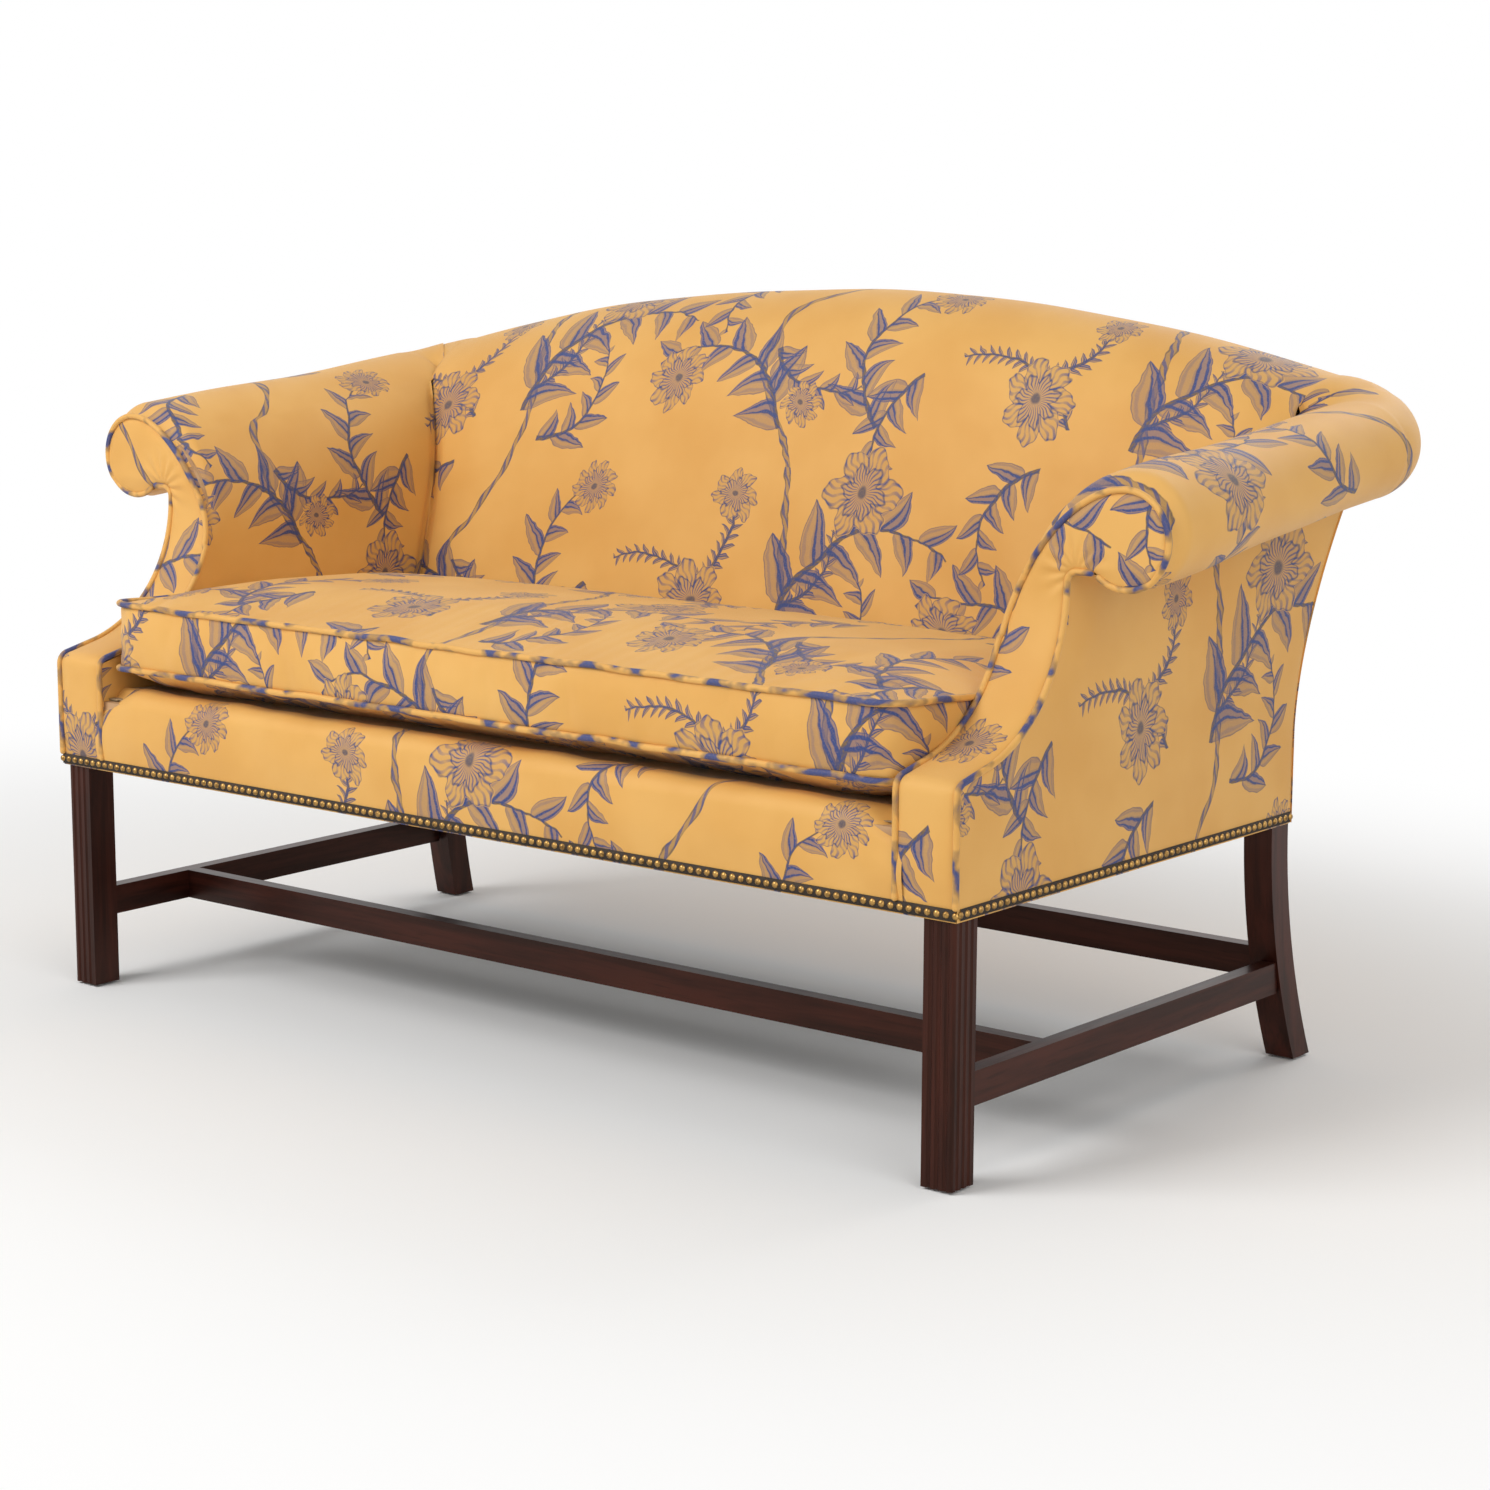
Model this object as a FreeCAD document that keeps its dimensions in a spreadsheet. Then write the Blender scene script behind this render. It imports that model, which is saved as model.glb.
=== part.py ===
# Camelback sofa with rolled arms, square legs and stretchers, and one loose bench cushion.
# Millimetres. Seen from the front, X runs to the right, Y to the back and Z up.
# The origin lies on the floor, at the middle of the sofa's outer box.
import FreeCAD, Part
import math
import os
import Sketcher

V = FreeCAD.Vector
doc = FreeCAD.newDocument("camelback_sofa")

# Driving dimensions

SIZES = [
    ("leg_span", 1420.0, "front legs, outside to outside"),
    ("front_line", -430.5, "front face of the front legs, from the origin"),
    ("leg_width", 40.0, "square front leg"),
    ("flute_radius", 3.2, "hollow flutes down the outer faces of a front leg"),
    ("flute_step", 10.5, "distance between flutes"),
    ("corner_bead", 4.0, "rounded outer corner of a front leg"),
    ("glide_height", 3.0, "glide under each leg"),
    ("glide_radius", 14.0, "glide under each leg"),
    ("rail_bottom", 300.0, "underside of the seat rails"),
    ("rail_top", 385.0, "top of the front rail"),
    ("rail_thick", 25.0, "seat rails"),
    ("seat_pitch", 2.45, "slope of the seat down to the back, degrees"),
    ("cover_gap", 4.0, "padding and cover over the rails"),
    ("cover_bottom", 295.0, "lower edge of the covers"),
    ("cover_thick", 3.0, "outside covers with their board"),
    ("rear_setback", 650.0, "front of the rear leg behind the front line, at the rail"),
    ("rear_leg_width", 38.0, "square rear leg"),
    ("rear_sweep", 45.0, "rear foot behind the top of the rear leg"),
    ("rear_splay", 14.0, "rear foot outside the top of the rear leg"),
    ("post_bend", 400.0, "height where the back post starts to lean"),
    ("post_lean", 0.08, "lean of the back post, run over rise"),
    ("stretcher_tall", 38.0, "stretchers"),
    ("stretcher_thick", 20.0, "stretchers"),
    ("stretcher_low", 88.0, "underside of the side and middle stretchers"),
    ("rear_stretcher_low", 102.0, "underside of the rear stretcher"),
    ("stretcher_inset", 3.0, "side stretcher inside the leg's outer face"),
    ("middle_setback", 180.0, "middle stretcher behind the front line"),
    ("spreader_wide", 45.0, "middle rail of the seat"),
    ("block_leg", 60.0, "corner block, short side"),
    ("block_tall", 40.0, "corner block"),
    ("screw_radius", 2.5, "corner block screw"),
    ("screw_head", 4.5, "corner block screw head radius"),
    ("screw_long", 28.0, "corner block screw"),
    ("screw_head_tall", 2.5, "corner block screw head"),
    ("screw_pitch", 20.0, "one corner block screw above the other"),
    ("block_lift", 10.0, "corner block above the underside of the rails"),
    ("web_wide", 50.0, "webbing strap"),
    ("web_thick", 1.5, "webbing strap"),
    ("web_lap", 16.0, "webbing on the rails"),
    ("hessian_thick", 1.0, "hessian over the webbing"),
    ("deck_thick", 14.0, "stuffing of the deck"),
    ("deck_cover_thick", 1.5, "cloth on the deck"),
    ("lip_rise", 17.0, "front edge roll above the rail"),
    ("lip_deep", 42.0, "front edge roll, front to back"),
    ("roll_radius", 55.0, "stuffed roll of arms and back"),
    ("roll_beyond", 76.0, "middle of the arm roll outside the legs' outer faces"),
    ("roll_front", 200.0, "front of the arm roll behind the front line"),
    ("roll_front_height", 687.0, "middle of the arm roll at its front"),
    ("roll_rear_height", 743.0, "middle of the arm roll where it meets the corner"),
    ("corner_radius", 85.0, "bend of the roll's middle line round the rear corner"),
    ("crest_end_height", 768.0, "middle of the back roll at the corner"),
    ("crest_height", 852.0, "middle of the back roll at the crest"),
    ("back_roll_setback", 785.0, "middle of the back roll behind the front line, at the corner"),
    ("crest_setback", 812.0, "the same at the crest"),
    ("arm_inset", 74.0, "inside face of an arm from the legs' outer faces"),
    ("neck_drop", 112.0, "where the flat inside face ends, below the middle of the roll"),
    ("neck_in", 3.0, "lean of the inside arm up to there"),
    ("flank_out", 98.0, "stuffing between that point and the roll's top, inside the roll's middle"),
    ("flank_up", 18.0, "the same point above the roll's middle"),
    ("crown_in", 8.0, "top of the roll, inside the roll's middle"),
    ("throat_in", 62.0, "where the roll ends on the outside, inside the roll's middle"),
    ("throat_rise", 13.0, "the same above the roll's underside"),
    ("back_deep", 166.0, "inside back in front of the roll's middle, where its flat face ends"),
    ("back_rake", 0.26, "lean of the inside back, run over rise"),
    ("arm_pad_thick", 38.0, "stuffing of the inside arm"),
    ("board_thick", 30.0, "arm board"),
    ("board_wide", 122.0, "arm board"),
    ("board_nose", 26.0, "arm board beyond the middle of the roll"),
    ("tack_rail_tall", 45.0, "lower rails of arms and back"),
    ("tack_rail_low", 408.0, "underside of the lower rails of arms and back"),
    ("crest_rail_tall", 95.0, "crest rail"),
    ("crest_rail_thick", 30.0, "crest rail"),
    ("crest_rail_in", 78.0, "back of the crest rail in front of the roll's middle"),
    ("upright_wide", 50.0, "back upright"),
    ("upright_thick", 20.0, "back upright"),
    ("upright_offset", 230.0, "back upright from the middle"),
    ("scroll_radius", 53.0, "scroll of the arm facing"),
    ("scroll_height", 682.0, "middle of the scroll"),
    ("scroll_ahead", 9.0, "face of the scroll in front of the start of the arm roll"),
    ("knee_rise", 55.0, "knee of the arm's front above the front rail"),
    ("knee_round", 12.0, "rounding of the knee"),
    ("step_deep", 58.0, "step above the knee, behind the front of the arm"),
    ("step_rise", 11.0, "the same, its rise"),
    ("sweep_in", 42.0, "middle of the sweep to the scroll, in front of the scroll"),
    ("sweep_rise", 72.0, "the same above the knee"),
    ("sweep_end", 30.0, "upper end of the sweep below the middle of the scroll"),
    ("facing_thick", 6.0, "stuffed facing of the arm front"),
    ("stump_deep", 32.0, "wooden arm stump, front to back"),
    ("stump_inset", 6.0, "stump inside the facing's outline"),
    ("nail_band_tall", 10.0, "band of close nails"),
    ("nail_band_thick", 2.0, "band of close nails"),
    ("nail_band_rise", 3.0, "band above the cover's lower edge"),
    ("dust_thick", 1.0, "dust cloth under the seat"),
    ("cushion_side_gap", 6.0, "bench cushion from the inside face of an arm"),
    ("cushion_deep", 550.0, "bench cushion"),
    ("cushion_edge", 82.0, "bench cushion between its two piped edges"),
    ("cushion_crown", 22.0, "rise of the cushion's top panel"),
    ("cushion_belly", 26.0, "fall of its bottom panel"),
    ("cushion_draw", 4.0, "how far the cushion's sides draw in"),
    ("cushion_corner", 45.0, "plan radius of the cushion's corners"),
    ("cushion_skin", 3.0, "cushion panels with their wadding"),
    ("cushion_gap", 0.4, "air between the cushion and the deck"),
    ("cushion_setback", 2.0, "front of the cushion behind the front line"),
    ("seam_in", 2.0, "seams of the boxing inside the cushion's piped edges"),
    ("zip_long", 1000.0, "zip in the back of the cushion"),
    ("zip_tall", 24.0, "zip tape"),
    ("zip_thick", 1.2, "zip tape"),
    ("zip_stop", 10.0, "closed slider from the end of the tape"),
    ("slider_long", 14.0, "zip slider"),
    ("slider_tall", 9.0, "zip slider"),
    ("slider_thick", 3.0, "zip slider"),
    ("slider_tab", 24.0, "pull tab of the zip slider"),
    ("tab_thick", 1.2, "pull tab of the zip slider"),
    ("zip_air", 0.1, "air between cushion, tape and slider"),
]

sheet = doc.addObject("Spreadsheet::Sheet", "Sizes")
for row, (alias, size, note) in enumerate(SIZES, start=1):
    sheet.set("A%d" % row, alias)
    sheet.set("B%d" % row, repr(size))
    sheet.set("C%d" % row, note)
    sheet.setAlias("B%d" % row, alias)
doc.recompute()

S = {alias: float(sheet.get(alias)) for alias, size, note in SIZES}
NODES = {}


# Helpers

def keep(label, thing):
    """Name a sub-part and keep it for the files."""
    thing.Label = label
    NODES[label] = thing
    return thing


def bind(thing, prop, text):
    """Tie a property to the sheet: bare aliases in the text get the sheet's name."""
    for alias in sorted(S, key=len, reverse=True):
        text = text.replace("@" + alias, "Sizes." + alias)
    thing.setExpression(prop, text)


def box(name, low, high):
    """A box between two corners, each three formulas of the sheet's sizes."""
    thing = doc.addObject("Part::Box", name)
    for prop, place, a, b in zip(("Length", "Width", "Height"), "xyz", low, high):
        bind(thing, prop, "(%s) - (%s)" % (b, a))
        bind(thing, ".Placement.Base." + place, a)
    return thing


def boolean(kind, name, base, tool):
    """Part::Cut, Part::Common or Part::Fuse of two objects."""
    thing = doc.addObject("Part::" + kind, name)
    thing.Base = base
    thing.Tool = tool
    return thing


def group(name, things):
    """Separate solids that share one node."""
    thing = doc.addObject("Part::Compound", name)
    thing.Links = things
    return thing


def joined(name, things):
    """Several solids made one, to cut with."""
    thing = doc.addObject("Part::MultiFuse", name)
    thing.Shapes = things
    return thing


def mirrored(name, source):
    """The same piece on the other side of the sofa."""
    thing = doc.addObject("Part::Mirroring", name)
    thing.Source = source
    thing.Normal = V(1, 0, 0)
    return thing


def both_sides(stem, source):
    """Keep a piece of the right side and its mirror image on the left."""
    keep(stem + "_right", source)
    keep(stem + "_left", mirrored(stem + "_left", source))


def outline(name, steps):
    """A closed wire: each step is a point, or a pair (point on an arc, its end)."""
    edges = []
    last = steps[-1][-1] if isinstance(steps[-1], tuple) else steps[-1]
    for step in steps:
        if isinstance(step, tuple):
            edges.append(Part.Arc(last, step[0], step[1]).toShape())
            last = step[1]
        else:
            edges.append(Part.LineSegment(last, step).toShape())
            last = step
    thing = doc.addObject("Part::Feature", name)
    thing.Shape = Part.Wire(edges)
    return thing


def extruded(name, wire, along, reach):
    """A closed wire pushed along a direction for a length from the sheet."""
    thing = doc.addObject("Part::Extrusion", name)
    thing.Base = wire
    thing.DirMode = "Custom"
    thing.Dir = along
    thing.Solid = True
    bind(thing, "LengthFwd", reach)
    return thing


def lofted(name, wires, ruled):
    """A solid through closed wires."""
    thing = doc.addObject("Part::Loft", name)
    thing.Sections = wires
    thing.Solid = True
    thing.Ruled = ruled
    return thing


def y_at(setback):
    """Distance behind the front line turned into Y."""
    return S["front_line"] + setback


def deck_height(setback):
    """Top of the sloping seat rails at a distance behind the front line."""
    return S["rail_top"] - math.tan(math.radians(S["seat_pitch"])) * setback


def arm_height(setback):
    """Middle of the arm roll at a distance behind the front line."""
    share = (setback - S["roll_front"]) / (CORNER_SETBACK - S["roll_front"])
    return S["roll_front_height"] + share * (S["roll_rear_height"] - S["roll_front_height"])


def board_low(setback):
    """Underside of the arm board."""
    return arm_height(setback) - S["board_thick"] * 0.6


LEG = "@leg_span / 2"
INSIDE_ARM = "(@leg_span / 2 - @arm_inset)"
COVER_X = S["leg_span"] / 2 + S["cover_gap"]
ROLL_X = S["leg_span"] / 2 + S["roll_beyond"]
INNER_X = S["leg_span"] / 2 - S["arm_inset"]
CUSHION_X = INNER_X - S["cushion_side_gap"]
REAR_BACK = S["rear_setback"] + S["rear_leg_width"]
COVER_BACK = REAR_BACK + S["cover_gap"]
CORNER_SETBACK = S["back_roll_setback"] - S["corner_radius"]
CORNER_X = ROLL_X - S["corner_radius"]
FAR = S["leg_span"]


# Front legs: square, with hollow flutes down the two outer faces and a rounded outer corner

def plane_of(body, role):
    return [item for item in body.Origin.OriginFeatures if item.Role == role][0]


def sketch_on(body, name, role):
    sketch = body.newObject("Sketcher::SketchObject", name)
    sketch.AttachmentSupport = [(plane_of(body, role), "")]
    sketch.MapMode = "FlatFace"
    return sketch


def rectangle_sketch(body, name, role, wide, deep):
    """A rectangle from the sketch's origin, its two sides bound to the sheet."""
    sketch = sketch_on(body, name, role)
    corners = [V(0, 0, 0), V(10, 0, 0), V(10, 10, 0), V(0, 10, 0)]
    for index in range(4):
        sketch.addGeometry(Part.LineSegment(corners[index], corners[(index + 1) % 4]), False)
    for index in range(4):
        sketch.addConstraint(Sketcher.Constraint("Coincident", index, 2, (index + 1) % 4, 1))
    sketch.addConstraint(Sketcher.Constraint("Horizontal", 0))
    sketch.addConstraint(Sketcher.Constraint("Horizontal", 2))
    sketch.addConstraint(Sketcher.Constraint("Vertical", 1))
    sketch.addConstraint(Sketcher.Constraint("Vertical", 3))
    sketch.addConstraint(Sketcher.Constraint("Coincident", 0, 1, -1, 1))
    first = sketch.addConstraint(Sketcher.Constraint("DistanceX", 0, 1, 0, 2, 10.0))
    second = sketch.addConstraint(Sketcher.Constraint("DistanceY", 1, 1, 1, 2, 10.0))
    bind(sketch, "Constraints[%d]" % first, wide)
    bind(sketch, "Constraints[%d]" % second, deep)
    return sketch


def circles_sketch(body, name, role, centres, radius):
    """Circles of one radius, each centre bound to the sheet."""
    sketch = sketch_on(body, name, role)
    for across, up in centres:
        circle = sketch.addGeometry(Part.Circle(V(5, 5, 0), V(0, 0, 1), 2.0), False)
        first = sketch.addConstraint(Sketcher.Constraint("DistanceX", -1, 1, circle, 3, 5.0))
        second = sketch.addConstraint(Sketcher.Constraint("DistanceY", -1, 1, circle, 3, 5.0))
        third = sketch.addConstraint(Sketcher.Constraint("Radius", circle, 2.0))
        bind(sketch, "Constraints[%d]" % first, across)
        bind(sketch, "Constraints[%d]" % second, up)
        bind(sketch, "Constraints[%d]" % third, radius)
    return sketch


def front_leg():
    body = doc.addObject("PartDesign::Body", "FrontLeg")
    square = rectangle_sketch(body, "FrontLegSquare", "XY_Plane", "@leg_width", "@leg_width")
    pad = body.newObject("PartDesign::Pad", "FrontLegPad")
    pad.Profile = square
    bind(pad, "Length", "@rail_top - @glide_height")
    sink = "@leg_width + @flute_radius * 0.45"
    rise = "-@flute_radius * 0.45"
    middle = "@leg_width / 2"
    centres = []
    for step in (-1, 0, 1):
        along = middle + " + %d * @flute_step" % step
        centres.append((along, rise))
        centres.append((sink, along))
    flutes = circles_sketch(body, "FrontLegFlutes", "XY_Plane", centres, "@flute_radius")
    pocket = body.newObject("PartDesign::Pocket", "FrontLegPocket")
    pocket.Profile = flutes
    pocket.Reversed = True
    bind(pocket, "Length", "@cover_bottom - @glide_height")
    doc.recompute()
    edges = []
    for index, edge in enumerate(pocket.Shape.Edges, start=1):
        middle_point = edge.BoundBox.Center
        upright = edge.BoundBox.ZLength > S["rail_top"] / 2
        if upright and middle_point.x > S["leg_width"] - 0.1 and middle_point.y < 0.1:
            edges.append("Edge%d" % index)
    fillet = body.newObject("PartDesign::Fillet", "FrontLegBead")
    fillet.Base = (pocket, edges)
    bind(fillet, "Radius", "@corner_bead")
    bind(body, ".Placement.Base.x", LEG + " - @leg_width")
    bind(body, ".Placement.Base.y", "@front_line")
    bind(body, ".Placement.Base.z", "@glide_height")
    return body


both_sides("front_leg", front_leg())


# Rear legs: each is one sawn piece, swept back and out below the seat, leaning back above it

def swept_edge(top, low, height, step):
    """Middle and end of a flat arc from (top, height) that leaves upright and ends step away at low."""
    middle = V(0, top + step / 4, (height + low) / 2)
    return middle, V(0, top + step, low)


def rear_leg():
    far = 400.0
    foot = S["glide_height"]
    bend = S["post_bend"]
    start = S["cover_bottom"]
    top = board_low(CORNER_SETBACK)
    lean = S["post_lean"] * (top - bend)
    front = y_at(S["rear_setback"])
    back = front + S["rear_leg_width"]
    mid_front, end_front = swept_edge(front, foot, start, S["rear_sweep"])
    mid_back, end_back = swept_edge(back, foot, start, S["rear_sweep"])
    side = outline("RearLegSide", [
        V(0, front, bend),
        V(0, front, start),
        (mid_front, end_front),
        end_back,
        (mid_back, V(0, back, start)),
        V(0, back, bend),
        V(0, back + lean, top),
        V(0, front + lean, top),
    ])
    side_solid = extruded("RearLegSideSolid", side, V(1, 0, 0), "@leg_span")
    outer = S["leg_span"] / 2
    inner = outer - S["rear_leg_width"]
    splay = S["rear_splay"]
    height = (start + foot) / 2
    face = outline("RearLegFace", [
        V(outer, -far, top),
        V(outer, -far, start),
        (V(outer + splay / 4, -far, height), V(outer + splay, -far, foot)),
        V(inner + splay, -far, foot),
        (V(inner + splay / 4, -far, height), V(inner, -far, start)),
        V(inner, -far, top),
    ])
    face_solid = extruded("RearLegFaceSolid", face, V(0, 1, 0), "@leg_span")
    return boolean("Common", "RearLeg", side_solid, face_solid)


both_sides("rear_leg", rear_leg())


# Glides under the four feet

def glide(name, x, setback):
    disc = doc.addObject("Part::Cone", name)
    bind(disc, "Radius1", "@glide_radius - 1.5")
    bind(disc, "Radius2", "@glide_radius")
    bind(disc, "Height", "@glide_height")
    bind(disc, ".Placement.Base.x", x)
    bind(disc, ".Placement.Base.y", "@front_line + " + setback)
    return disc


front_x = "(@leg_span / 2 - @leg_width / 2)"
rear_x = "(@leg_span / 2 + @rear_splay - @rear_leg_width / 2)"
rear_y = "@rear_setback + @rear_sweep + @rear_leg_width / 2"
glides = []
for sign, side in ((1, "Right"), (-1, "Left")):
    glides.append(glide("GlideFront" + side, "%d * %s" % (sign, front_x), "@leg_width / 2"))
    glides.append(glide("GlideRear" + side, "%d * %s" % (sign, rear_x), rear_y))
keep("leg_glides", group("LegGlides", glides))


# Stretchers: side, middle and rear

def splay_at(height):
    """Outward and backward share of the rear leg's sweep at a height, 0 at the rail and 1 at the foot."""
    share = (S["cover_bottom"] - height) / (S["cover_bottom"] - S["glide_height"])
    return share * share


def stretchers():
    thick = S["stretcher_thick"]
    low = S["stretcher_low"]
    high = low + S["stretcher_tall"]
    front_outer = S["leg_span"] / 2 - S["stretcher_inset"]
    rear_outer = front_outer + S["rear_splay"] * splay_at((low + high) / 2)
    start = y_at(S["leg_width"])
    stop = y_at(S["rear_setback"] + S["rear_leg_width"] / 2)
    side = outline("SideStretcherPlan", [
        V(front_outer, start, low),
        V(rear_outer, stop, low),
        V(rear_outer - thick, stop, low),
        V(front_outer - thick, start, low),
    ])
    solid = extruded("SideStretcherBlank", side, V(0, 0, 1), "@stretcher_tall")
    both_sides("side_stretcher", boolean("Cut", "SideStretcher", solid, NODES["rear_leg_right"]))
    share = (S["middle_setback"] + thick / 2 - S["leg_width"]) / (stop - start)
    inner = front_outer - thick + (rear_outer - front_outer) * share
    middle = box("MiddleStretcherBlank",
                 ("-%f" % (inner + thick / 2), "@front_line + @middle_setback", "@stretcher_low"),
                 ("%f" % (inner + thick / 2), "@front_line + @middle_setback + @stretcher_thick",
                  "@stretcher_low + @stretcher_tall"))
    sides = joined("SideStretchers", [NODES["side_stretcher_right"], NODES["side_stretcher_left"]])
    keep("middle_stretcher", boolean("Cut", "MiddleStretcher", middle, sides))
    height = S["rear_stretcher_low"] + S["stretcher_tall"] / 2
    setback = S["rear_setback"] + S["rear_sweep"] * splay_at(height) + 8
    blank = box("RearStretcherBlank",
                ("-" + LEG, "@front_line + %f" % setback, "@rear_stretcher_low"),
                (LEG, "@front_line + %f + @stretcher_thick" % setback,
                 "@rear_stretcher_low + @stretcher_tall"))
    legs = joined("RearLegs", [NODES["rear_leg_right"], NODES["rear_leg_left"]])
    trimmed = boolean("Cut", "RearStretcherLong", blank, legs)
    keep("rear_stretcher", trimmed)


stretchers()


# Seat rails, with the side rails sloping down to the back

def seat_rails():
    rail_z = "@rail_bottom"
    leg_in = LEG + " - @leg_width"
    keep("front_rail", box("FrontRail",
                           ("-(%s)" % leg_in, "@front_line", rail_z),
                           (leg_in, "@front_line + @rail_thick", "@rail_top")))
    rear_in = LEG + " - @rear_leg_width"
    rear_top = deck_height(REAR_BACK)
    rear = box("RearRail",
               ("-(%s)" % rear_in, "@front_line + %f - @rail_thick" % REAR_BACK, rail_z),
               (rear_in, "@front_line + %f" % REAR_BACK, "%f" % rear_top))
    keep("rear_rail", rear)
    outer = S["leg_span"] / 2
    start = S["leg_width"]
    stop = S["rear_setback"]
    side = outline("SideRailFace", [
        V(outer - S["rail_thick"], y_at(start), S["rail_bottom"]),
        V(outer - S["rail_thick"], y_at(stop), S["rail_bottom"]),
        V(outer - S["rail_thick"], y_at(stop), deck_height(stop)),
        V(outer - S["rail_thick"], y_at(start), deck_height(start)),
    ])
    both_sides("side_rail", extruded("SideRail", side, V(1, 0, 0), "@rail_thick"))
    web_drop = 2 * S["web_thick"] + 1.0
    front = S["rail_thick"]
    back = REAR_BACK - S["rail_thick"]
    bar = outline("SpreaderFace", [
        V(-S["spreader_wide"] / 2, y_at(front), S["rail_bottom"]),
        V(-S["spreader_wide"] / 2, y_at(back), S["rail_bottom"]),
        V(-S["spreader_wide"] / 2, y_at(back), deck_height(back) - 25 - web_drop),
        V(-S["spreader_wide"] / 2, y_at(front), deck_height(front) - 25 - web_drop),
    ])
    keep("seat_spreader", extruded("SeatSpreader", bar, V(1, 0, 0), "@spreader_wide"))


seat_rails()


# Corner blocks and their screws

def screw(name, start, into):
    """A round-headed screw whose shank starts at a point."""
    shank = doc.addObject("Part::Cylinder", name + "Shank")
    bind(shank, "Radius", "@screw_radius")
    bind(shank, "Height", "@screw_long")
    head = doc.addObject("Part::Cylinder", name + "Head")
    bind(head, "Radius", "@screw_head")
    bind(head, "Height", "@screw_head_tall")
    bind(head, ".Placement.Base.z", "-@screw_head_tall")
    thing = boolean("Fuse", name, shank, head)
    thing.Placement = FreeCAD.Placement(start, FreeCAD.Rotation(V(0, 0, 1), into))
    return thing


def corner_blocks():
    """Three-sided blocks round the inner corners of the legs, each held by two screws."""
    blocks = []
    screws = []
    low = S["rail_bottom"] + S["block_lift"]
    side_x = S["leg_span"] / 2 - S["rail_thick"]
    corners = (("Front", y_at(S["rail_thick"]), 1, S["leg_width"]),
               ("Rear", y_at(REAR_BACK - S["rail_thick"]), -1, S["rear_leg_width"]))
    for place, y, way, leg_width in corners:
        gap = leg_width - S["rail_thick"]
        reach = gap + S["block_leg"]
        face = outline("BlockPlan" + place, [
            V(side_x - gap, y, low),
            V(side_x - reach, y, low),
            V(side_x, y + way * reach, low),
            V(side_x, y + way * gap, low),
            V(side_x - gap, y + way * gap, low),
        ])
        block = extruded("Block" + place, face, V(0, 0, 1), "@block_tall")
        middle = V(side_x - reach / 2, y + way * reach / 2, low + S["block_tall"] / 2)
        into = V(1, -way, 0).normalize()
        pair = []
        for lift in (-0.5, 0.5):
            start = middle + V(0, 0, lift * S["screw_pitch"])
            pair.append(screw("Screw%s%d" % (place, lift > 0), start, into))
        screws += pair
        blocks.append(boolean("Cut", "BlockDrilled" + place, block, joined("Drill" + place, pair)))
    left_blocks = [mirrored("Left" + block.Name, block) for block in blocks]
    left_screws = [mirrored("Left" + thing.Name, thing) for thing in screws]
    keep("corner_blocks", group("CornerBlocks", blocks + left_blocks))
    keep("corner_screws", group("CornerScrews", screws + left_screws))


corner_blocks()


# Deck: webbing, hessian, stuffing and its cloth, all on the slope of the rails

def sloped_box(name, x0, x1, setback0, setback1, rise, thick):
    """A flat piece on the slope of the seat, rise above the rails' top."""
    pitch = math.radians(S["seat_pitch"])
    y = y_at(setback0) + rise * math.sin(pitch)
    low = deck_height(setback0) + rise * math.cos(pitch)
    thing = doc.addObject("Part::Box", name)
    thing.Length = x1 - x0
    thing.Width = (setback1 - setback0) / math.cos(pitch)
    thing.Height = thick
    turn = FreeCAD.Rotation(V(1, 0, 0), -S["seat_pitch"])
    thing.Placement = FreeCAD.Placement(V(x0, y, low), turn)
    return thing


def crest_at(x):
    """Height and setback of the back roll's middle at a distance from the sofa's middle."""
    share = 1 - (x / CORNER_X) ** 2
    height = S["crest_end_height"] + share * (S["crest_height"] - S["crest_end_height"])
    setback = S["back_roll_setback"] + share * (S["crest_setback"] - S["back_roll_setback"])
    return height, setback


def back_foot(x):
    """Setback and height of the inside back's lower edge, where it stands on the deck's stuffing."""
    height, setback = crest_at(x)
    face = setback - S["back_deep"]
    base = deck_height(face) + 2 * S["web_thick"] + S["hessian_thick"] + S["deck_thick"]
    return face - S["back_rake"] * (height - S["neck_drop"] - base), base


LONG_WEBS = 4
CROSS_WEBS = 11


def deck():
    half = S["leg_span"] / 2
    lap = S["web_lap"]
    side = half - S["rail_thick"] + lap
    back = REAR_BACK - S["rail_thick"] + lap
    front = S["rail_thick"] - lap
    wide = S["web_wide"]
    thick = S["web_thick"]
    runs = LONG_WEBS
    room = back - front - 2 * S["leg_width"]
    long_webs = []
    for index in range(runs):
        start = front + S["leg_width"] + (room - wide) * index / (runs - 1)
        long_webs.append(sloped_box("LongWeb%d" % index, -side, side, start, start + wide, 0.0, thick))
    keep("seat_webbing_long", group("SeatWebbingLong", long_webs))
    runs = CROSS_WEBS
    reach = half - S["leg_width"]
    cross_webs = []
    for index in range(runs):
        start = -reach + (2 * reach - wide) * index / (runs - 1)
        cross_webs.append(sloped_box("CrossWeb%d" % index, start, start + wide, front, back, thick, thick))
    keep("seat_webbing_cross", group("SeatWebbingCross", cross_webs))
    rise = 2 * thick
    reach = INNER_X - 1.0
    rear = back_foot(CORNER_X)[0] - 1.0
    keep("seat_hessian", sloped_box("SeatHessian", -reach, reach, front, back - lap, rise,
                                    S["hessian_thick"]))
    rise += S["hessian_thick"]
    keep("deck_pad", sloped_box("DeckPad", -reach, reach, S["lip_deep"], back - lap, rise,
                                S["deck_thick"]))
    rise += S["deck_thick"]
    keep("deck_cover", sloped_box("DeckCover", -reach, reach, S["lip_deep"], rear, rise,
                                  S["deck_cover_thick"]))


deck()


# Front border: the stuffed cover on the front rail with its edge roll

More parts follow.
